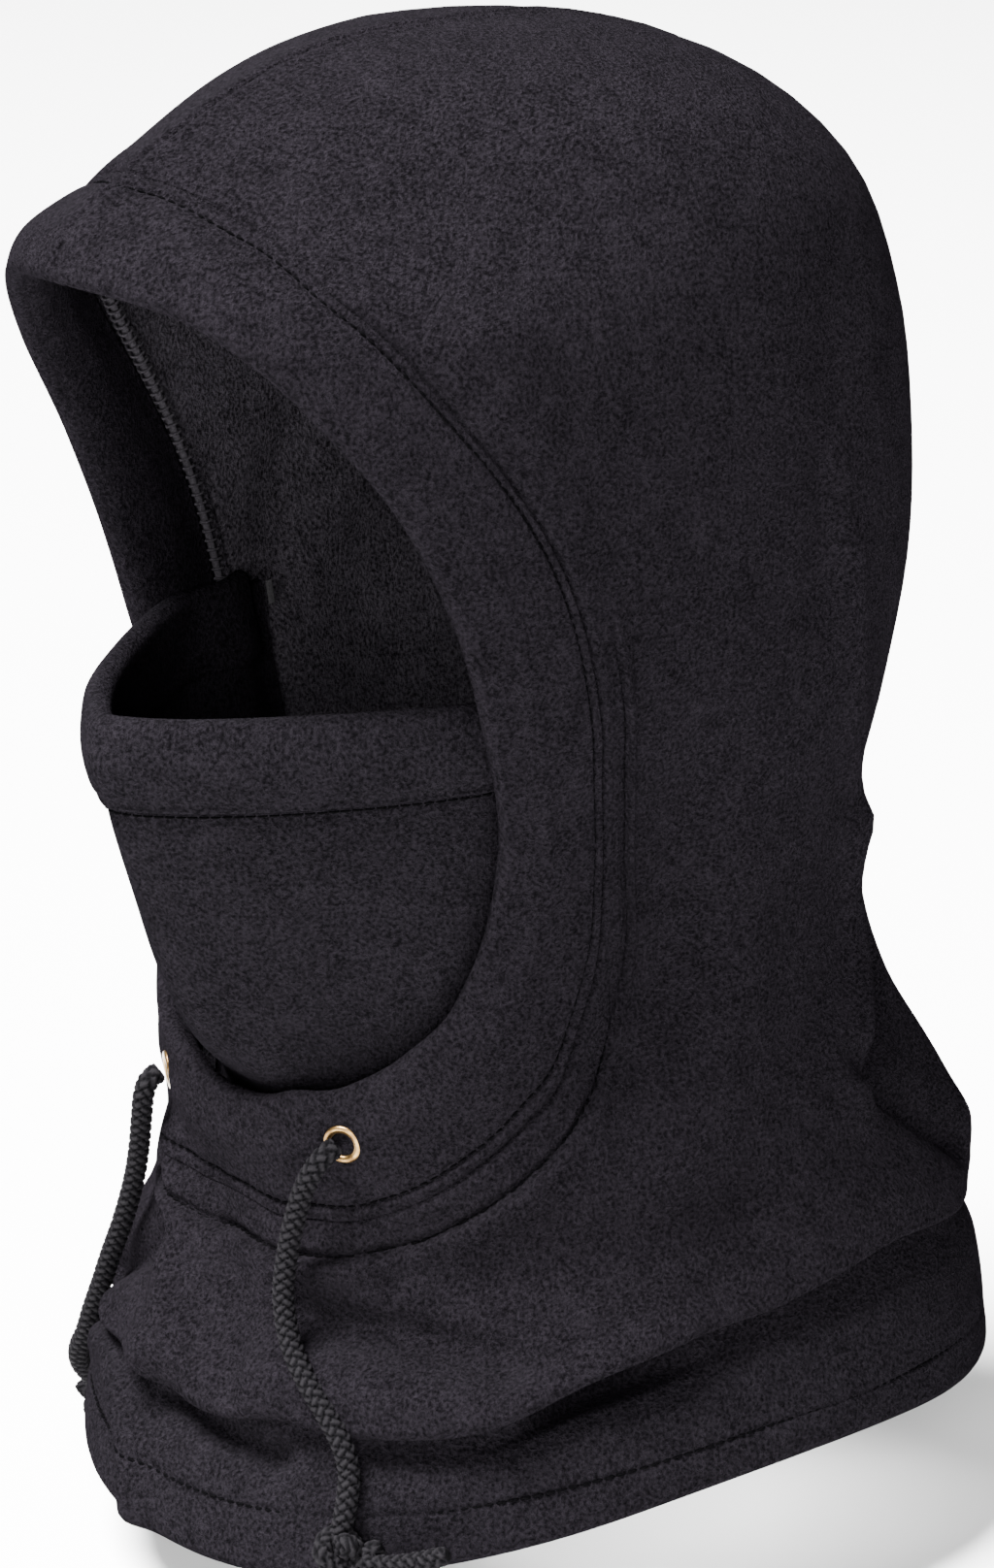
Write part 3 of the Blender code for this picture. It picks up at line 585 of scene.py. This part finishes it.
def line_distance(points, line):
    """Distance from every point to a line of straight pieces."""
    best = np.full(points.shape[:-1], 1e9)
    for start, end in zip(line, line[1:]):
        along = end - start
        share = np.clip(((points - start) @ along) / (along @ along), 0.0, 1.0)
        gap = points - start - share[..., None] * along
        best = np.minimum(best, np.linalg.norm(gap, axis=-1))
    return best


def fold_relief(points):
    """How far the folds push the cloth out, in metres."""
    relief = np.zeros(points.shape[:-1])
    for places, width, height in FOLDS:
        angles = np.radians([spot[0] for spot in places])
        levels = np.array([spot[1] for spot in places])
        line = catmull(surface(angles, levels), np.linspace(0, 1, 4 * len(places)))
        relief += FOLD_STRENGTH * height * MM * bell(line_distance(points, line), width * MM)
    return relief


def seam_relief(points, turn, reach):
    """The groove of the crown and nape seam, with a low welt on each side of it."""
    beside = np.abs(points[..., 0])
    here = (np.abs(turn) < reach) * 1.0
    return here * (crease(CROWN_WELT, beside) + crease(CROWN_GROOVE, beside))


# Meshes

def new_piece(name, vertices, faces, material, body, slot, *nodes):
    """A piece that stands for CAD nodes and rides on a body, when one is given."""
    mesh = bpy.data.meshes.new(name)
    mesh.from_pydata(vertices.reshape(-1, 3).tolist(), [], faces)
    mesh.validate()
    mesh.shade_smooth()
    mesh.materials.append(material)
    piece = bpy.data.objects.new(name, mesh)
    bpy.context.scene.collection.objects.link(piece)
    if body:
        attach(piece, body)
    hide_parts(*nodes)
    return piece


def side_word(side):
    return "left" if side > 0 else "right"


def grid_faces(rows, columns, wrap_rows, wrap_columns):
    row = np.arange(rows if wrap_rows else rows - 1)[:, None]
    column = np.arange(columns if wrap_columns else columns - 1)[None, :]
    next_row = (row + 1) % rows
    next_column = (column + 1) % columns
    quads = np.stack([row * columns + column, row * columns + next_column,
                      next_row * columns + next_column, next_row * columns + column], axis=-1)
    return quads.reshape(-1, 4).tolist()


def new_cloth(name, grid, material, body, *nodes):
    """Cloth from a grid of points that wraps round both ways."""
    faces = grid_faces(grid.shape[0], grid.shape[1], True, True)
    return new_piece(name, grid, faces, material, body, "fleece", *nodes)


def rolled_edge(centre, radius, degrees, outward, onward):
    """Rows of points round a rolled edge of cloth, from the way outward to the way onward and past it."""
    angle = np.radians(degrees)[:, None, None]
    return centre[None] + radius * (np.cos(angle) * outward[None] + np.sin(angle) * onward[None])


def frames_along(line):
    """Tangent and two side directions at each point, turning as little as possible."""
    tangents = unit(np.gradient(line, axis=0))
    start = np.cross(tangents[0], (0.0, 0.0, 1.0))
    if np.linalg.norm(start) < 0.1:
        start = np.cross(tangents[0], (1.0, 0.0, 0.0))
    sides = [start / np.linalg.norm(start)]
    for tangent in tangents[1:]:
        side = sides[-1] - tangent * (sides[-1] @ tangent)
        sides.append(side / np.linalg.norm(side))
    sides = np.array(sides)
    return tangents, sides, np.cross(tangents, sides)


def swept_tube(line, radius, around, relief=None):
    """Vertices and faces of a tube with closed ends; relief(along, angle) adds to the radius."""
    _, first, second = frames_along(line)
    travel = travel_along(line)
    angle = np.linspace(0, 2 * math.pi, around, endpoint=False)
    reach = np.broadcast_to(np.asarray(radius, float), travel.shape)[:, None] + 0 * angle[None, :]
    if relief:
        reach = reach + relief(travel[:, None], angle[None, :])
    points = (line[:, None] + reach[..., None] * (np.cos(angle)[None, :, None] * first[:, None]
                                                  + np.sin(angle)[None, :, None] * second[:, None]))
    faces = grid_faces(len(line), around, False, True)
    faces.append(list(range(around))[::-1])
    last = (len(line) - 1) * around
    faces.append(list(range(last, last + around)))
    return points.reshape(-1, 3), faces


def join_parts(parts):
    """One vertex array and one face list from several."""
    vertices = []
    faces = []
    count = 0
    for points, part_faces in parts:
        vertices.append(points)
        faces += [[i + count for i in face] for face in part_faces]
        count += len(points)
    return np.concatenate(vertices), faces


# Cords

def braid_relief(along, angle):
    """Strands of a round braid in two slanting families, each passing over the other by turns."""
    round_place = BRAID_STRANDS / 2 * angle / (2 * math.pi)
    one = round_place + along / BRAID_STEP
    other = round_place - along / BRAID_STEP
    over = (np.floor(one + 0.5) + np.floor(other + 0.5)) % 2 < 0.5
    ridge = np.where(over, np.abs(np.cos(math.pi * one)), np.abs(np.cos(math.pi * other)))
    return BRAID_HEIGHT * ridge**0.8 - BRAID_SINK


def mark_strands(piece, line, around):
    """Store how high each point of a braid stands, for its material to read: it paints the low points darker,
    as painted shade between the strands.
    """
    travel = travel_along(line)
    angle = np.linspace(0, 2 * math.pi, around, endpoint=False)
    height = (braid_relief(travel[:, None], angle[None, :]) + BRAID_SINK) / BRAID_HEIGHT
    layer = piece.data.attributes.new("strand_height", "FLOAT", "POINT")
    layer.data.foreach_set("value", height.ravel().astype(np.float32))


def make_cord(side, route, material):
    word = side_word(side)
    line = even_points(route, 0.45 * MM)
    points, faces = swept_tube(line, CORD_RADIUS, CORD_SIDES, braid_relief)
    cord = new_piece("cord_braid_" + word, points, faces, material, "cord_" + word, "cord",
                     "drawcord_" + word)
    mark_strands(cord, line, CORD_SIDES)
    knot = make_knot(side, route, material)


def make_knot(side, route, material):
    """An overhand knot drawn tight, with the cord's own tip sticking out of it sideways."""
    word = side_word(side)
    end = np.array(route[-1])
    mirror = np.array([side, 1.0, 1.0])
    centre = end + np.array(KNOT_MIDDLE) * mirror * MM
    t = np.linspace(math.radians(100), math.radians(430), 120)
    local = KNOT_SIZE * np.stack([np.sin(t) + 2 * np.sin(2 * t), 1.15 * np.sin(3 * t),
                                  np.cos(t) - 2 * np.cos(2 * t)], -1)
    turn = np.array([[side * 0.77, 0.64 * side, 0.0], [-0.64, 0.77, 0.0], [0.0, 0.0, 1.0]])
    body = centre + local @ turn
    tail = end + (np.array(TAIL_START) + np.array(TAIL)) * mirror * MM
    line = even_points(np.concatenate([[end + (0, 0, 1 * MM)], body[::10], tail]), 0.6 * MM)
    travel = np.linspace(0, 1, len(line))
    radius = KNOT_RADIUS * (1 - 0.35 * np.clip((travel - 0.975) / 0.025, 0, 1)**2)
    points, faces = swept_tube(line, radius, KNOT_SIDES, braid_relief)
    knot = new_piece("cord_knot_tied_" + word, points, faces, material, "cord_" + word, "cord",
                     "cord_knot_" + word, "cord_tip_" + word)
    mark_strands(knot, line, KNOT_SIDES)
    return knot


# Hood shell

def paint_inside_lighter(piece, inside_painted_light, first_inner):
    """Give the faces on the inside of the cloth, those from vertex first_inner on, the second material: the
    same fleece painted lighter, as painted light inside the hood.
    """
    piece.data.materials.append(inside_painted_light)
    for polygon in piece.data.polygons:
        if polygon.vertices[0] >= first_inner:
            polygon.material_index = 1


def hood_turns():
    near = np.concatenate([np.arange(0, 3, 0.15), np.arange(3, 12, 0.45), np.arange(12, 64, 0.8),
                           np.arange(64, 180, 1.2)])
    return np.concatenate([near, [180.0], -near[:0:-1]])


def make_hood(material, inside_painted_light):
    """The shell from the face band's seam over the crown and down to a soft roll over the collar."""
    turn = hood_turns()[None, :]
    seam = loop_distance(BAND_SEAM, turn)
    end = loop_distance(HOOD_END, turn)
    near_part = np.minimum(0.13, 0.75 * (end - seam))
    near = np.linspace(0, 1, 72)[:, None] * near_part + seam
    far = np.sin(np.linspace(0, math.pi / 2, 84)[1:, None]) * (end - near[-1:]) + near[-1:]
    distance = np.concatenate([near, far])
    turn = np.broadcast_to(turn, distance.shape)
    base, normal = face_place(turn, distance)
    from_seam = (distance - seam) * LEVEL_LENGTH
    from_end = (end - distance) * LEVEL_LENGTH
    mask_seam = (distance - loop_distance(MASK_SEAM, turn)) * LEVEL_LENGTH
    travel = np.radians(turn) * TRAVEL_RADIUS
    relief = fold_relief(base) + seam_relief(base, turn, CROWN_SEAM_REACH)
    relief += smooth_value(CHIN_FADE, np.abs(turn)) * crease(BAND_GROOVE, from_seam)
    relief += crease(BAND_WELT, from_seam)
    lower = np.clip((np.abs(turn) - 52) / 10, 0, 1)
    stitch_pull = 1 + 0.25 * ripple(travel, (9 * MM, 23 * MM, 41 * MM), 1)
    relief += lower * stitch_pull * crease(MASK_GROOVE, mask_seam)
    relief += lower * crease(MASK_HOLLOW, np.minimum(mask_seam, 0)) * (mask_seam < 0)
    relief += lower * crease(MASK_WELT, mask_seam)
    roll = 3.8 * MM + 1.5 * MM * ripple(travel, (0.05, 0.083, 0.14), 3)
    relief += roll * bell(np.maximum(from_end - 5 * MM, 0), 16 * MM)
    round_neck = np.degrees(np.arctan2(base[..., 0], -base[..., 1]))
    relief += bell(round_neck - OVERHANG_ANGLE, 15) * crease(OVERHANG, from_end)
    outer = base + normal * relief[..., None]
    down = unit(outer[-1] - outer[-4])
    radius = 2.4 * MM
    lip = rolled_edge(outer[-1] - radius * normal[-1], radius, (25, 55, 90, 125, 155), normal[-1], down)
    depth = FLEECE + 2.2 * MM * bell(from_end, 9 * MM)
    inner = (outer - normal * depth[..., None])[::-2]
    grid = np.concatenate([outer, lip, inner])
    hood = new_cloth("hood_shell", grid, material, "hood", "hood_panel_left", "hood_panel_right")
    # The inner faces get the shell's fleece painted lighter: painted light inside the hood.
    paint_inside_lighter(hood, inside_painted_light, (len(outer) + len(lip)) * grid.shape[1])


# Face band

def make_face_band(material):
    """The casing round the opening: padded by the cord inside, with a topstitched welt at its seam."""
    turn = np.concatenate([np.arange(0, 3, 0.2), np.arange(3, 180, 0.9)])
    turn = np.concatenate([turn, [180.0], -turn[:0:-1]])[None, :]
    share = np.concatenate([np.linspace(1.0, 0.80, 26), np.linspace(0.79, BAND_ROLL_SHARE, 44)])[:, None]
    width = (loop_distance(BAND_SEAM, turn) - loop_distance(OPENING_EDGE, turn)) * LEVEL_LENGTH
    place = np.broadcast_to(share, (share.shape[0], turn.shape[1]))
    turns = np.broadcast_to(turn, place.shape)
    base, normal = band_place(turns, place)
    travel = np.radians(turns) * TRAVEL_RADIUS
    relief = fold_relief(base) + seam_relief(base, turns, CROWN_SEAM_REACH) * 0.8
    relief += smooth_value(CHIN_FADE, np.abs(turns)) * crease(BAND_EDGE_GROOVE, (1 - place) * width)
    stitch = (place - TOPSTITCH_SHARE) * width
    stitch_pull = 1 + 0.25 * ripple(travel, (8 * MM, 21 * MM, 37 * MM), 2)
    relief += stitch_pull * crease(TOPSTITCH_GROOVE, stitch)
    relief += 1.6 * MM * np.sin(np.clip(place / TOPSTITCH_SHARE, 0, 1) * math.pi)**0.7
    from_cord = (place - CORD_SHARE) * width
    relief += crease(CORD_BULGE, from_cord)
    from_eyelet = np.minimum(np.abs(np.abs(turns) - EYELET_ANGLE) * EYELET_ARC, 1.0)
    dimple = bell(np.hypot(from_eyelet, from_cord), EYELET_DIMPLE)
    relief = relief * (1 - dimple) + 0.2 * MM * dimple
    outer = base + normal * relief[..., None]
    edge_base, edge_normal = band_place(turn[0], np.full(turn.shape[1], BAND_ROLL_SHARE))
    tip_base, _ = band_place(turn[0], np.zeros(turn.shape[1]))
    inward = unit(tip_base - edge_base)
    radius = 3.0 * MM
    fold = rolled_edge(outer[-1] - radius * edge_normal, radius, np.linspace(18, 162, 9), edge_normal, inward)
    inner_share = np.linspace(BAND_ROLL_SHARE, 1.0, 24)[:, None] + 0 * turn
    inner_base, inner_normal = band_place(np.broadcast_to(turn, inner_share.shape), inner_share)
    depth = smooth_value(((0.0, 6.0), (0.2, 8.2), (0.42, 8.8), (0.7, 7.2), (1.0, 5.2)), inner_share) * MM
    inner = inner_base - inner_normal * depth[..., None]
    grid = np.concatenate([outer, fold, inner])
    new_cloth("face_band_casing", grid, material, "hood", "face_band", "drawcord_run")


# Mask

def settle_inside(point):
    """Draw points of the mask inwards until they are clear of the hood and of the folded face band."""
    x, y, z = point[..., 0], point[..., 1], point[..., 2]
    high = np.full(x.shape, 0.25)
    low = np.full(x.shape, 0.95)
    for _ in range(18):
        level = (high + low) / 2
        centre_y = surface(np.full(x.shape, math.pi / 2), level)[..., 1]
        angle = np.arctan2(x, centre_y - y)
        above = surface(angle, level)[..., 2] > z
        high = np.where(above, level, high)
        low = np.where(above, low, level)
    across = level * np.sin(angle)
    along = FACE_LEVEL - level * np.cos(angle)
    turn = np.degrees(np.arctan2(across, along))
    inner = loop_distance(OPENING_EDGE, turn)
    share = (np.hypot(across, along) - inner) / (loop_distance(BAND_SEAM, turn) - inner)
    skin = surface(angle, level)
    room = np.hypot(skin[..., 0], skin[..., 1] - centre_y) - smooth_value(MASK_DEPTH, share)
    pull = np.minimum(1.0, room / np.hypot(x, y - centre_y))
    return np.stack([x * pull, centre_y + (y - centre_y) * pull, z], axis=-1)


def mask_grid(turns, drops):
    """Points and outward directions of the mask: rows down it, columns from its right end to its left."""
    rows = catmull([[*front, *side] for front, side in MASK_ROWS], drops)[:, None, :]
    cosine = np.maximum(np.cos(np.radians(turns)), 0.0)[None, :]
    sine = np.sin(np.radians(turns))[None, :]
    ahead = cosine**MASK_WEDGE
    aside = np.sign(sine) * np.abs(sine)**MASK_WEDGE
    points = np.stack([rows[..., 2] * aside, rows[..., 3] + (rows[..., 0] - rows[..., 3]) * ahead,
                       rows[..., 4] + (rows[..., 1] - rows[..., 4]) * ahead], axis=-1)
    points = settle_inside(points)
    power = 2 - MASK_WEDGE
    normal = np.stack([1.15 * np.sign(sine) * np.abs(sine)**power, -cosine**power, 0 * sine], axis=-1)
    normal = np.broadcast_to(unit(normal), points.shape)
    return soften(points, 6), soften(normal, 6)


def soften(grid, rounds):
    """Even out a grid of points, leaving its rim in place."""
    grid = grid.copy()
    for _ in range(rounds):
        grid[:, 1:-1] = 0.5 * grid[:, 1:-1] + 0.25 * (grid[:, 2:] + grid[:, :-2])
        grid[1:-1] = 0.5 * grid[1:-1] + 0.25 * (grid[2:] + grid[:-2])
    return grid


def make_mask(material):
    turns = np.linspace(-90, 90, 150)
    drops = np.linspace(0.02, 1.0, 110)
    points, normal = mask_grid(turns, drops)
    down = drops[:, None] * MASK_HEIGHT
    wave = ripple(np.radians(turns)[None, :] * MASK_RADIUS + 0.3 * down, (0.062, 0.094, 0.151), 5)
    relief = 0.9 * MM * wave * np.clip(drops[:, None] * 4, 0, 1)
    relief += crease(MASK_HEM_STEP, down - MASK_HEM * MASK_HEIGHT)
    outer = points + normal * relief[..., None]
    inner = outer - normal * MASK_CLOTH
    grid = np.concatenate([outer, inner[::-1]])
    faces = grid_faces(grid.shape[0], grid.shape[1], True, False)
    count = grid.shape[1]
    size = grid.shape[0]
    ends = [[size - 1 - r, size - 2 - r, r + 1, r] for r in range(len(drops) - 1)]
    faces += [[i * count for i in quad] for quad in ends]
    faces += [[i * count + count - 1 for i in quad[::-1]] for quad in ends]
    mask = new_piece("mask_cloth", grid, faces, material, None, "fleece", "mask_panel")
    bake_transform(mask)


def make_mask_hem(material):
    """The doubled strip along the mask's top edge, folded over it and stitched along its lower edge."""
    turns = np.linspace(-HEM_REACH, HEM_REACH, 150)
    drops = np.concatenate([np.linspace(0.0, 0.14, 22), np.linspace(0.144, MASK_HEM, 6)])
    points, normal = mask_grid(turns, drops)
    down = drops[:, None] * MASK_HEIGHT
    wave = ripple(np.radians(turns)[None, :] * MASK_RADIUS, (0.058, 0.097, 0.14), 4)
    thick = HEM_THICKNESS + 0.5 * MM * wave + crease(MASK_HEM_GROOVE, down - MASK_HEM * MASK_HEIGHT)
    thick = thick + 1.2 * MM * np.sin(np.clip(drops[:, None] / 0.145, 0, 1) * math.pi)
    thick = thick * (1 - 0.45 * np.clip((np.abs(turns) - 64) / 14, 0, 1))
    ease = np.clip((MASK_HEM - drops[:, None]) / 0.022, 0, 1)**0.5
    thick = HEM_EDGE_THICKNESS + (thick - HEM_EDGE_THICKNESS) * ease
    outer = points + normal * thick[..., None]
    under = points + normal * 0.6 * MM
    inner_drop = drops[::3]
    inner_points, inner_normal = mask_grid(turns, inner_drop)
    back = inner_points - inner_normal * (MASK_CLOTH + 2.6 * MM)
    back_under = inner_points - inner_normal * (MASK_CLOTH + 0.3 * MM)
    top = (outer[0] + back[0]) / 2
    lift = np.array([0, 0, 1.0])
    half = np.linalg.norm(outer[0] - back[0], axis=-1, keepdims=True) / 2
    arc = np.radians(np.linspace(25, 155, 6))
    side_way = (outer[0] - top) / half
    crest = np.stack([top + half * (math.cos(a) * side_way + math.sin(a) * lift) for a in arc])
    grid = np.concatenate([under[::-3][:TURNED_ROWS], outer[::-1], crest, back,
                           back_under[::-1][:TURNED_ROWS]])
    faces = grid_faces(grid.shape[0], grid.shape[1], True, False)
    count = grid.shape[1]
    faces.append([r * count for r in range(grid.shape[0])])
    faces.append([r * count + count - 1 for r in range(grid.shape[0])][::-1])
    new_piece("mask_hem_strip", grid, faces, material, "mask_hem", "fleece", "mask_top_band")


# Collar

def below_tuck(level, end):
    """0 where the collar is tucked well up inside the hood, 1 from just above the hood's end down."""
    return np.clip((level - end + 0.03) / 0.02, 0, 1)


def make_collar(material):
    """The doubled neck collar: its upper edge is tucked up inside the hood, its hem is a soft fold."""
    angle = np.linspace(-math.pi, math.pi, 420, endpoint=False)
    end = smooth_value(HOOD_END_LEVEL, np.abs(np.degrees(angle)))
    share = np.concatenate([np.linspace(0, 0.3, 14), np.linspace(0.32, 1.0, 60)])[:, None]
    top = end - COLLAR_TUCK
    level = top + share * (COLLAR_FOLD_LEVEL - top)
    angles = np.broadcast_to(angle, level.shape)
    base, normal = neck_place(angles, level)
    travel = angles * TRAVEL_RADIUS
    rise = np.clip((level - end) / 0.06, 0, 1)
    relief = -(FLEECE + 1.2 * MM) * (1 - smooth_step(rise))
    relief = relief + fold_relief(base)
    degrees = np.degrees(angles)
    gap = 1 - np.clip((level - end - 0.022) / 0.010, 0, 1)
    relief -= 9.0 * MM * bell(degrees - OVERHANG_ANGLE, 10) * smooth_step(gap) * below_tuck(level, end)
    below_stitches = level - HEM_STITCH_LEVEL
    stitch_pull = 1 + 0.3 * ripple(travel, (9 * MM, 23 * MM), 6)
    relief += stitch_pull * crease(COLLAR_HEM_GROOVE, below_stitches * LEVEL_LENGTH)
    relief += 0.6 * MM * np.clip(below_stitches / 0.03, 0, 1)
    relief += 0.9 * MM * ripple(travel + 0.4 * (level - 0.9), (0.071, 0.113, 0.19), 8) * rise
    outer = base + normal * relief[..., None]
    down = unit(outer[-1] - outer[-3])
    radius = 3.6 * MM
    fold = rolled_edge(outer[-1] - radius * normal[-1], radius, np.linspace(15, 165, 11), normal[-1], down)
    depth = 2 * radius - 1.6 * MM * np.clip((0.97 - level) / 0.05, 0, 1)
    inner = (outer - normal * depth[..., None])[::-2]
    new_cloth("collar_folded", np.concatenate([outer, fold, inner]), material, "hood", "neck_collar")


# Metal

def eyelet_matrix(side):
    """Frame of an eyelet: +Z out of the cloth, +X round the opening."""
    turn = np.array([side * EYELET_ANGLE, side * (EYELET_ANGLE + 1.0)])
    place, normal = band_place(turn, np.full(2, CORD_SHARE))
    out = Vector(normal[0]).normalized()
    way = Vector(place[1] - place[0])
    first = (way - out * way.dot(out)).normalized()
    return Matrix.Translation(Vector(place[0])) @ Matrix((first, out.cross(first), out)).transposed().to_4x4()


def make_eyelet(side, material):
    """A rolled brass grommet with a rounded rim."""
    word = side_word(side)
    rim = [(RIM_MIDDLE[0] + RIM_SIZE[0] * math.cos(a), RIM_MIDDLE[1] + RIM_SIZE[1] * math.sin(a))
           for a in np.radians(np.linspace(-30, 205, 16))]
    profile = rim + BARREL
    place = eyelet_matrix(side)
    points = []
    for radius, height in profile:
        for k in range(EYELET_STEPS):
            a = 2 * math.pi * k / EYELET_STEPS
            points.append(place @ Vector((radius * MM * math.cos(a), radius * MM * math.sin(a), height * MM)))
    faces = grid_faces(len(profile), EYELET_STEPS, True, True)
    new_piece("eyelet_rolled_" + word, np.array(points), faces, material, "hood", "brass", "eyelet_" + word)


# Thread

def stitch_row(name, line, normals, pitch, material, body, node):
    """Separate stitches along a line: each is a short, plump length of thread whose ends dip in."""
    travel = travel_along(line)
    count = int(travel[-1] / pitch)
    shape = np.linspace(-0.5, 0.5, 7)
    parts = []
    for k in range(count):
        marks = (k + 0.5 + STITCH_SHARE * shape) * pitch
        middle = read_along(line, travel, marks)
        up = read_along(normals, travel, marks)
        arch = (0.34 - 2.2 * shape**2) * MM - STITCH_SINK
        parts.append(swept_tube(middle + up * arch[:, None], THREAD_RADIUS * (1 - 1.6 * shape**2), 7))
    points, faces = join_parts(parts)
    new_piece(name, points, faces, material, body, "thread", node)


def sew_cloth(name, node, place, sink, pitch, material):
    """A row of stitches in the hood's cloth, at points and normals of the garment surface."""
    points, normal = place
    relief = fold_relief(points) - sink
    stitch_row(name, points + normal * relief[:, None], normal, pitch, material, "hood", node)


def make_stitching(material):
    turn = np.concatenate([np.arange(0, 180, 0.5), np.arange(-180, 0.1, 0.5)])
    place = band_place(turn, np.full(turn.shape, TOPSTITCH_SHARE))
    sew_cloth("band_topstitch", "band_topstitch_thread", place, 0.5 * MM, STITCH_PITCH, material)
    turn = np.concatenate([np.arange(56, 180, 0.5), np.arange(-180, -55.9, 0.5)])
    place = face_place(turn, loop_distance(MASK_SEAM, turn))
    sew_cloth("mask_seam_stitches", "mask_seam_thread", place, 1.4 * MM, STITCH_PITCH, material)
    place = face_place(np.zeros(300), np.linspace(0.272, 1.255, 300))
    sew_cloth("crown_seam_stitches", "crown_seam_thread", place, 1.0 * MM, LONG_PITCH, material)
    points, normal = mask_grid(np.linspace(-78, 78, 200), np.array([0.0, MASK_HEM - 0.014, 0.3]))
    stitch_row("mask_hem_stitches", points[1] + normal[1] * 2.6 * MM, normal[1], STITCH_PITCH, material,
               "mask_hem", "mask_hem_thread")
    place = neck_place(np.linspace(-math.pi, math.pi, 500), np.full(500, HEM_STITCH_LEVEL))
    sew_cloth("collar_hem_stitches", "collar_hem_thread", place, 0.25 * MM, LONG_PITCH, material)


def make_overlock(side, material):
    """The seam's raw edge inside the hood, wrapped in slanting loops of thread."""
    word = side_word(side)
    turn = side * np.linspace(7.5, 100, 260)
    points, normal = face_place(turn, loop_distance(BAND_SEAM, turn) + OVERLOCK_SETBACK)
    line = points - normal * (FLEECE + 2.0 * MM)
    edge_part = swept_tube(line, 1.1 * MM, 12)
    travel = travel_along(line)
    tangents, _, _ = frames_along(line)
    beside = np.cross(tangents, normal)
    count = int(travel[-1] / LOOP_PITCH)
    marks = np.linspace(0, travel[-1], count * 18)
    wind = 2 * math.pi * marks / LOOP_PITCH
    middle, across, out = [read_along(source, travel, marks) for source in (line, beside, normal)]
    loops = middle + MM * (2.3 * np.cos(wind)[:, None] * across + 1.5 * np.sin(wind)[:, None] * out)
    loop_part = swept_tube(loops, 0.40 * MM, 7)
    points, faces = join_parts([edge_part, loop_part])
    new_piece("overlocked_edge_" + word, points, faces, material, "hood", "thread", "seam_overlock_" + word)


def make_bar_tack(side, material):
    """A dense bar of zigzag stitches across the mask's top corner."""
    word = side_word(side)
    points, normal = mask_grid(np.linspace(-90, 90, 61), np.linspace(0.015, 0.07, 5))
    column = -1 if side > 0 else 0
    start = points[0, column] - normal[0, column] * (MASK_CLOTH + TACK_DEPTH)
    end = points[-1, column] - normal[-1, column] * (MASK_CLOTH + TACK_DEPTH)
    beside = unit(np.cross(end - start, normal[0, column]))
    marks = np.linspace(0, 1, 2 * TACK_TURNS)
    sway = np.where(np.arange(2 * TACK_TURNS) % 2 == 0, TACK_SWAY, -TACK_SWAY)
    line = start + (end - start) * marks[:, None] + beside * sway[:, None]
    line = even_points(line, 0.35 * MM)
    points, faces = swept_tube(line, 0.30 * MM, 6)
    new_piece("bar_tack_zigzag_" + word, points, faces, material, "hood", "thread", "bar_tack_" + word)


make_camera()
make_world()
for light in LIGHTS:
    make_area_light(*light)
make_floor()

cord_material = make_cord_material()
fleece = make_fleece("fleece_shell", (0.0011, 0.00092, 0.0012), (0.0072, 0.0061, 0.0078), 0.004)
# The hood's inside: the shell's fleece painted about four times lighter, as painted light where little light
# reaches inside the hood.
inside_painted_light = make_fleece("fleece_inside_painted_light", (0.0040, 0.0035, 0.0043), (0.0330, 0.0292, 0.0350), 0.006)
inside = make_fleece("fleece_mask", (0.0010, 0.00085, 0.0011), (0.0070, 0.0060, 0.0076), 0.004)
thread = make_thread_material("black_thread", (0.0004, 0.0004, 0.00045), (0.0014, 0.0013, 0.0015))
loop_thread = make_thread_material("overlock_thread", (0.006, 0.0055, 0.0063), (0.024, 0.022, 0.0252))
pale_thread = make_thread_material("grey_thread", (0.008, 0.0078, 0.0082), (0.024, 0.023, 0.0243))
brass = make_brass()

make_cord(1, CORD_ROUTE_LEFT, cord_material)
make_cord(-1, CORD_ROUTE_RIGHT, cord_material)
make_hood(fleece, inside_painted_light)
make_face_band(fleece)
make_mask(inside)
make_mask_hem(inside)
make_collar(inside)
for hand in (1, -1):
    make_eyelet(hand, brass)
    make_overlock(hand, loop_thread)
    make_bar_tack(hand, pale_thread)
make_stitching(thread)
for washer in ("eyelet_washer_left", "eyelet_washer_right"):
    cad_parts[washer].data.materials.clear()
    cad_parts[washer].data.materials.append(brass)
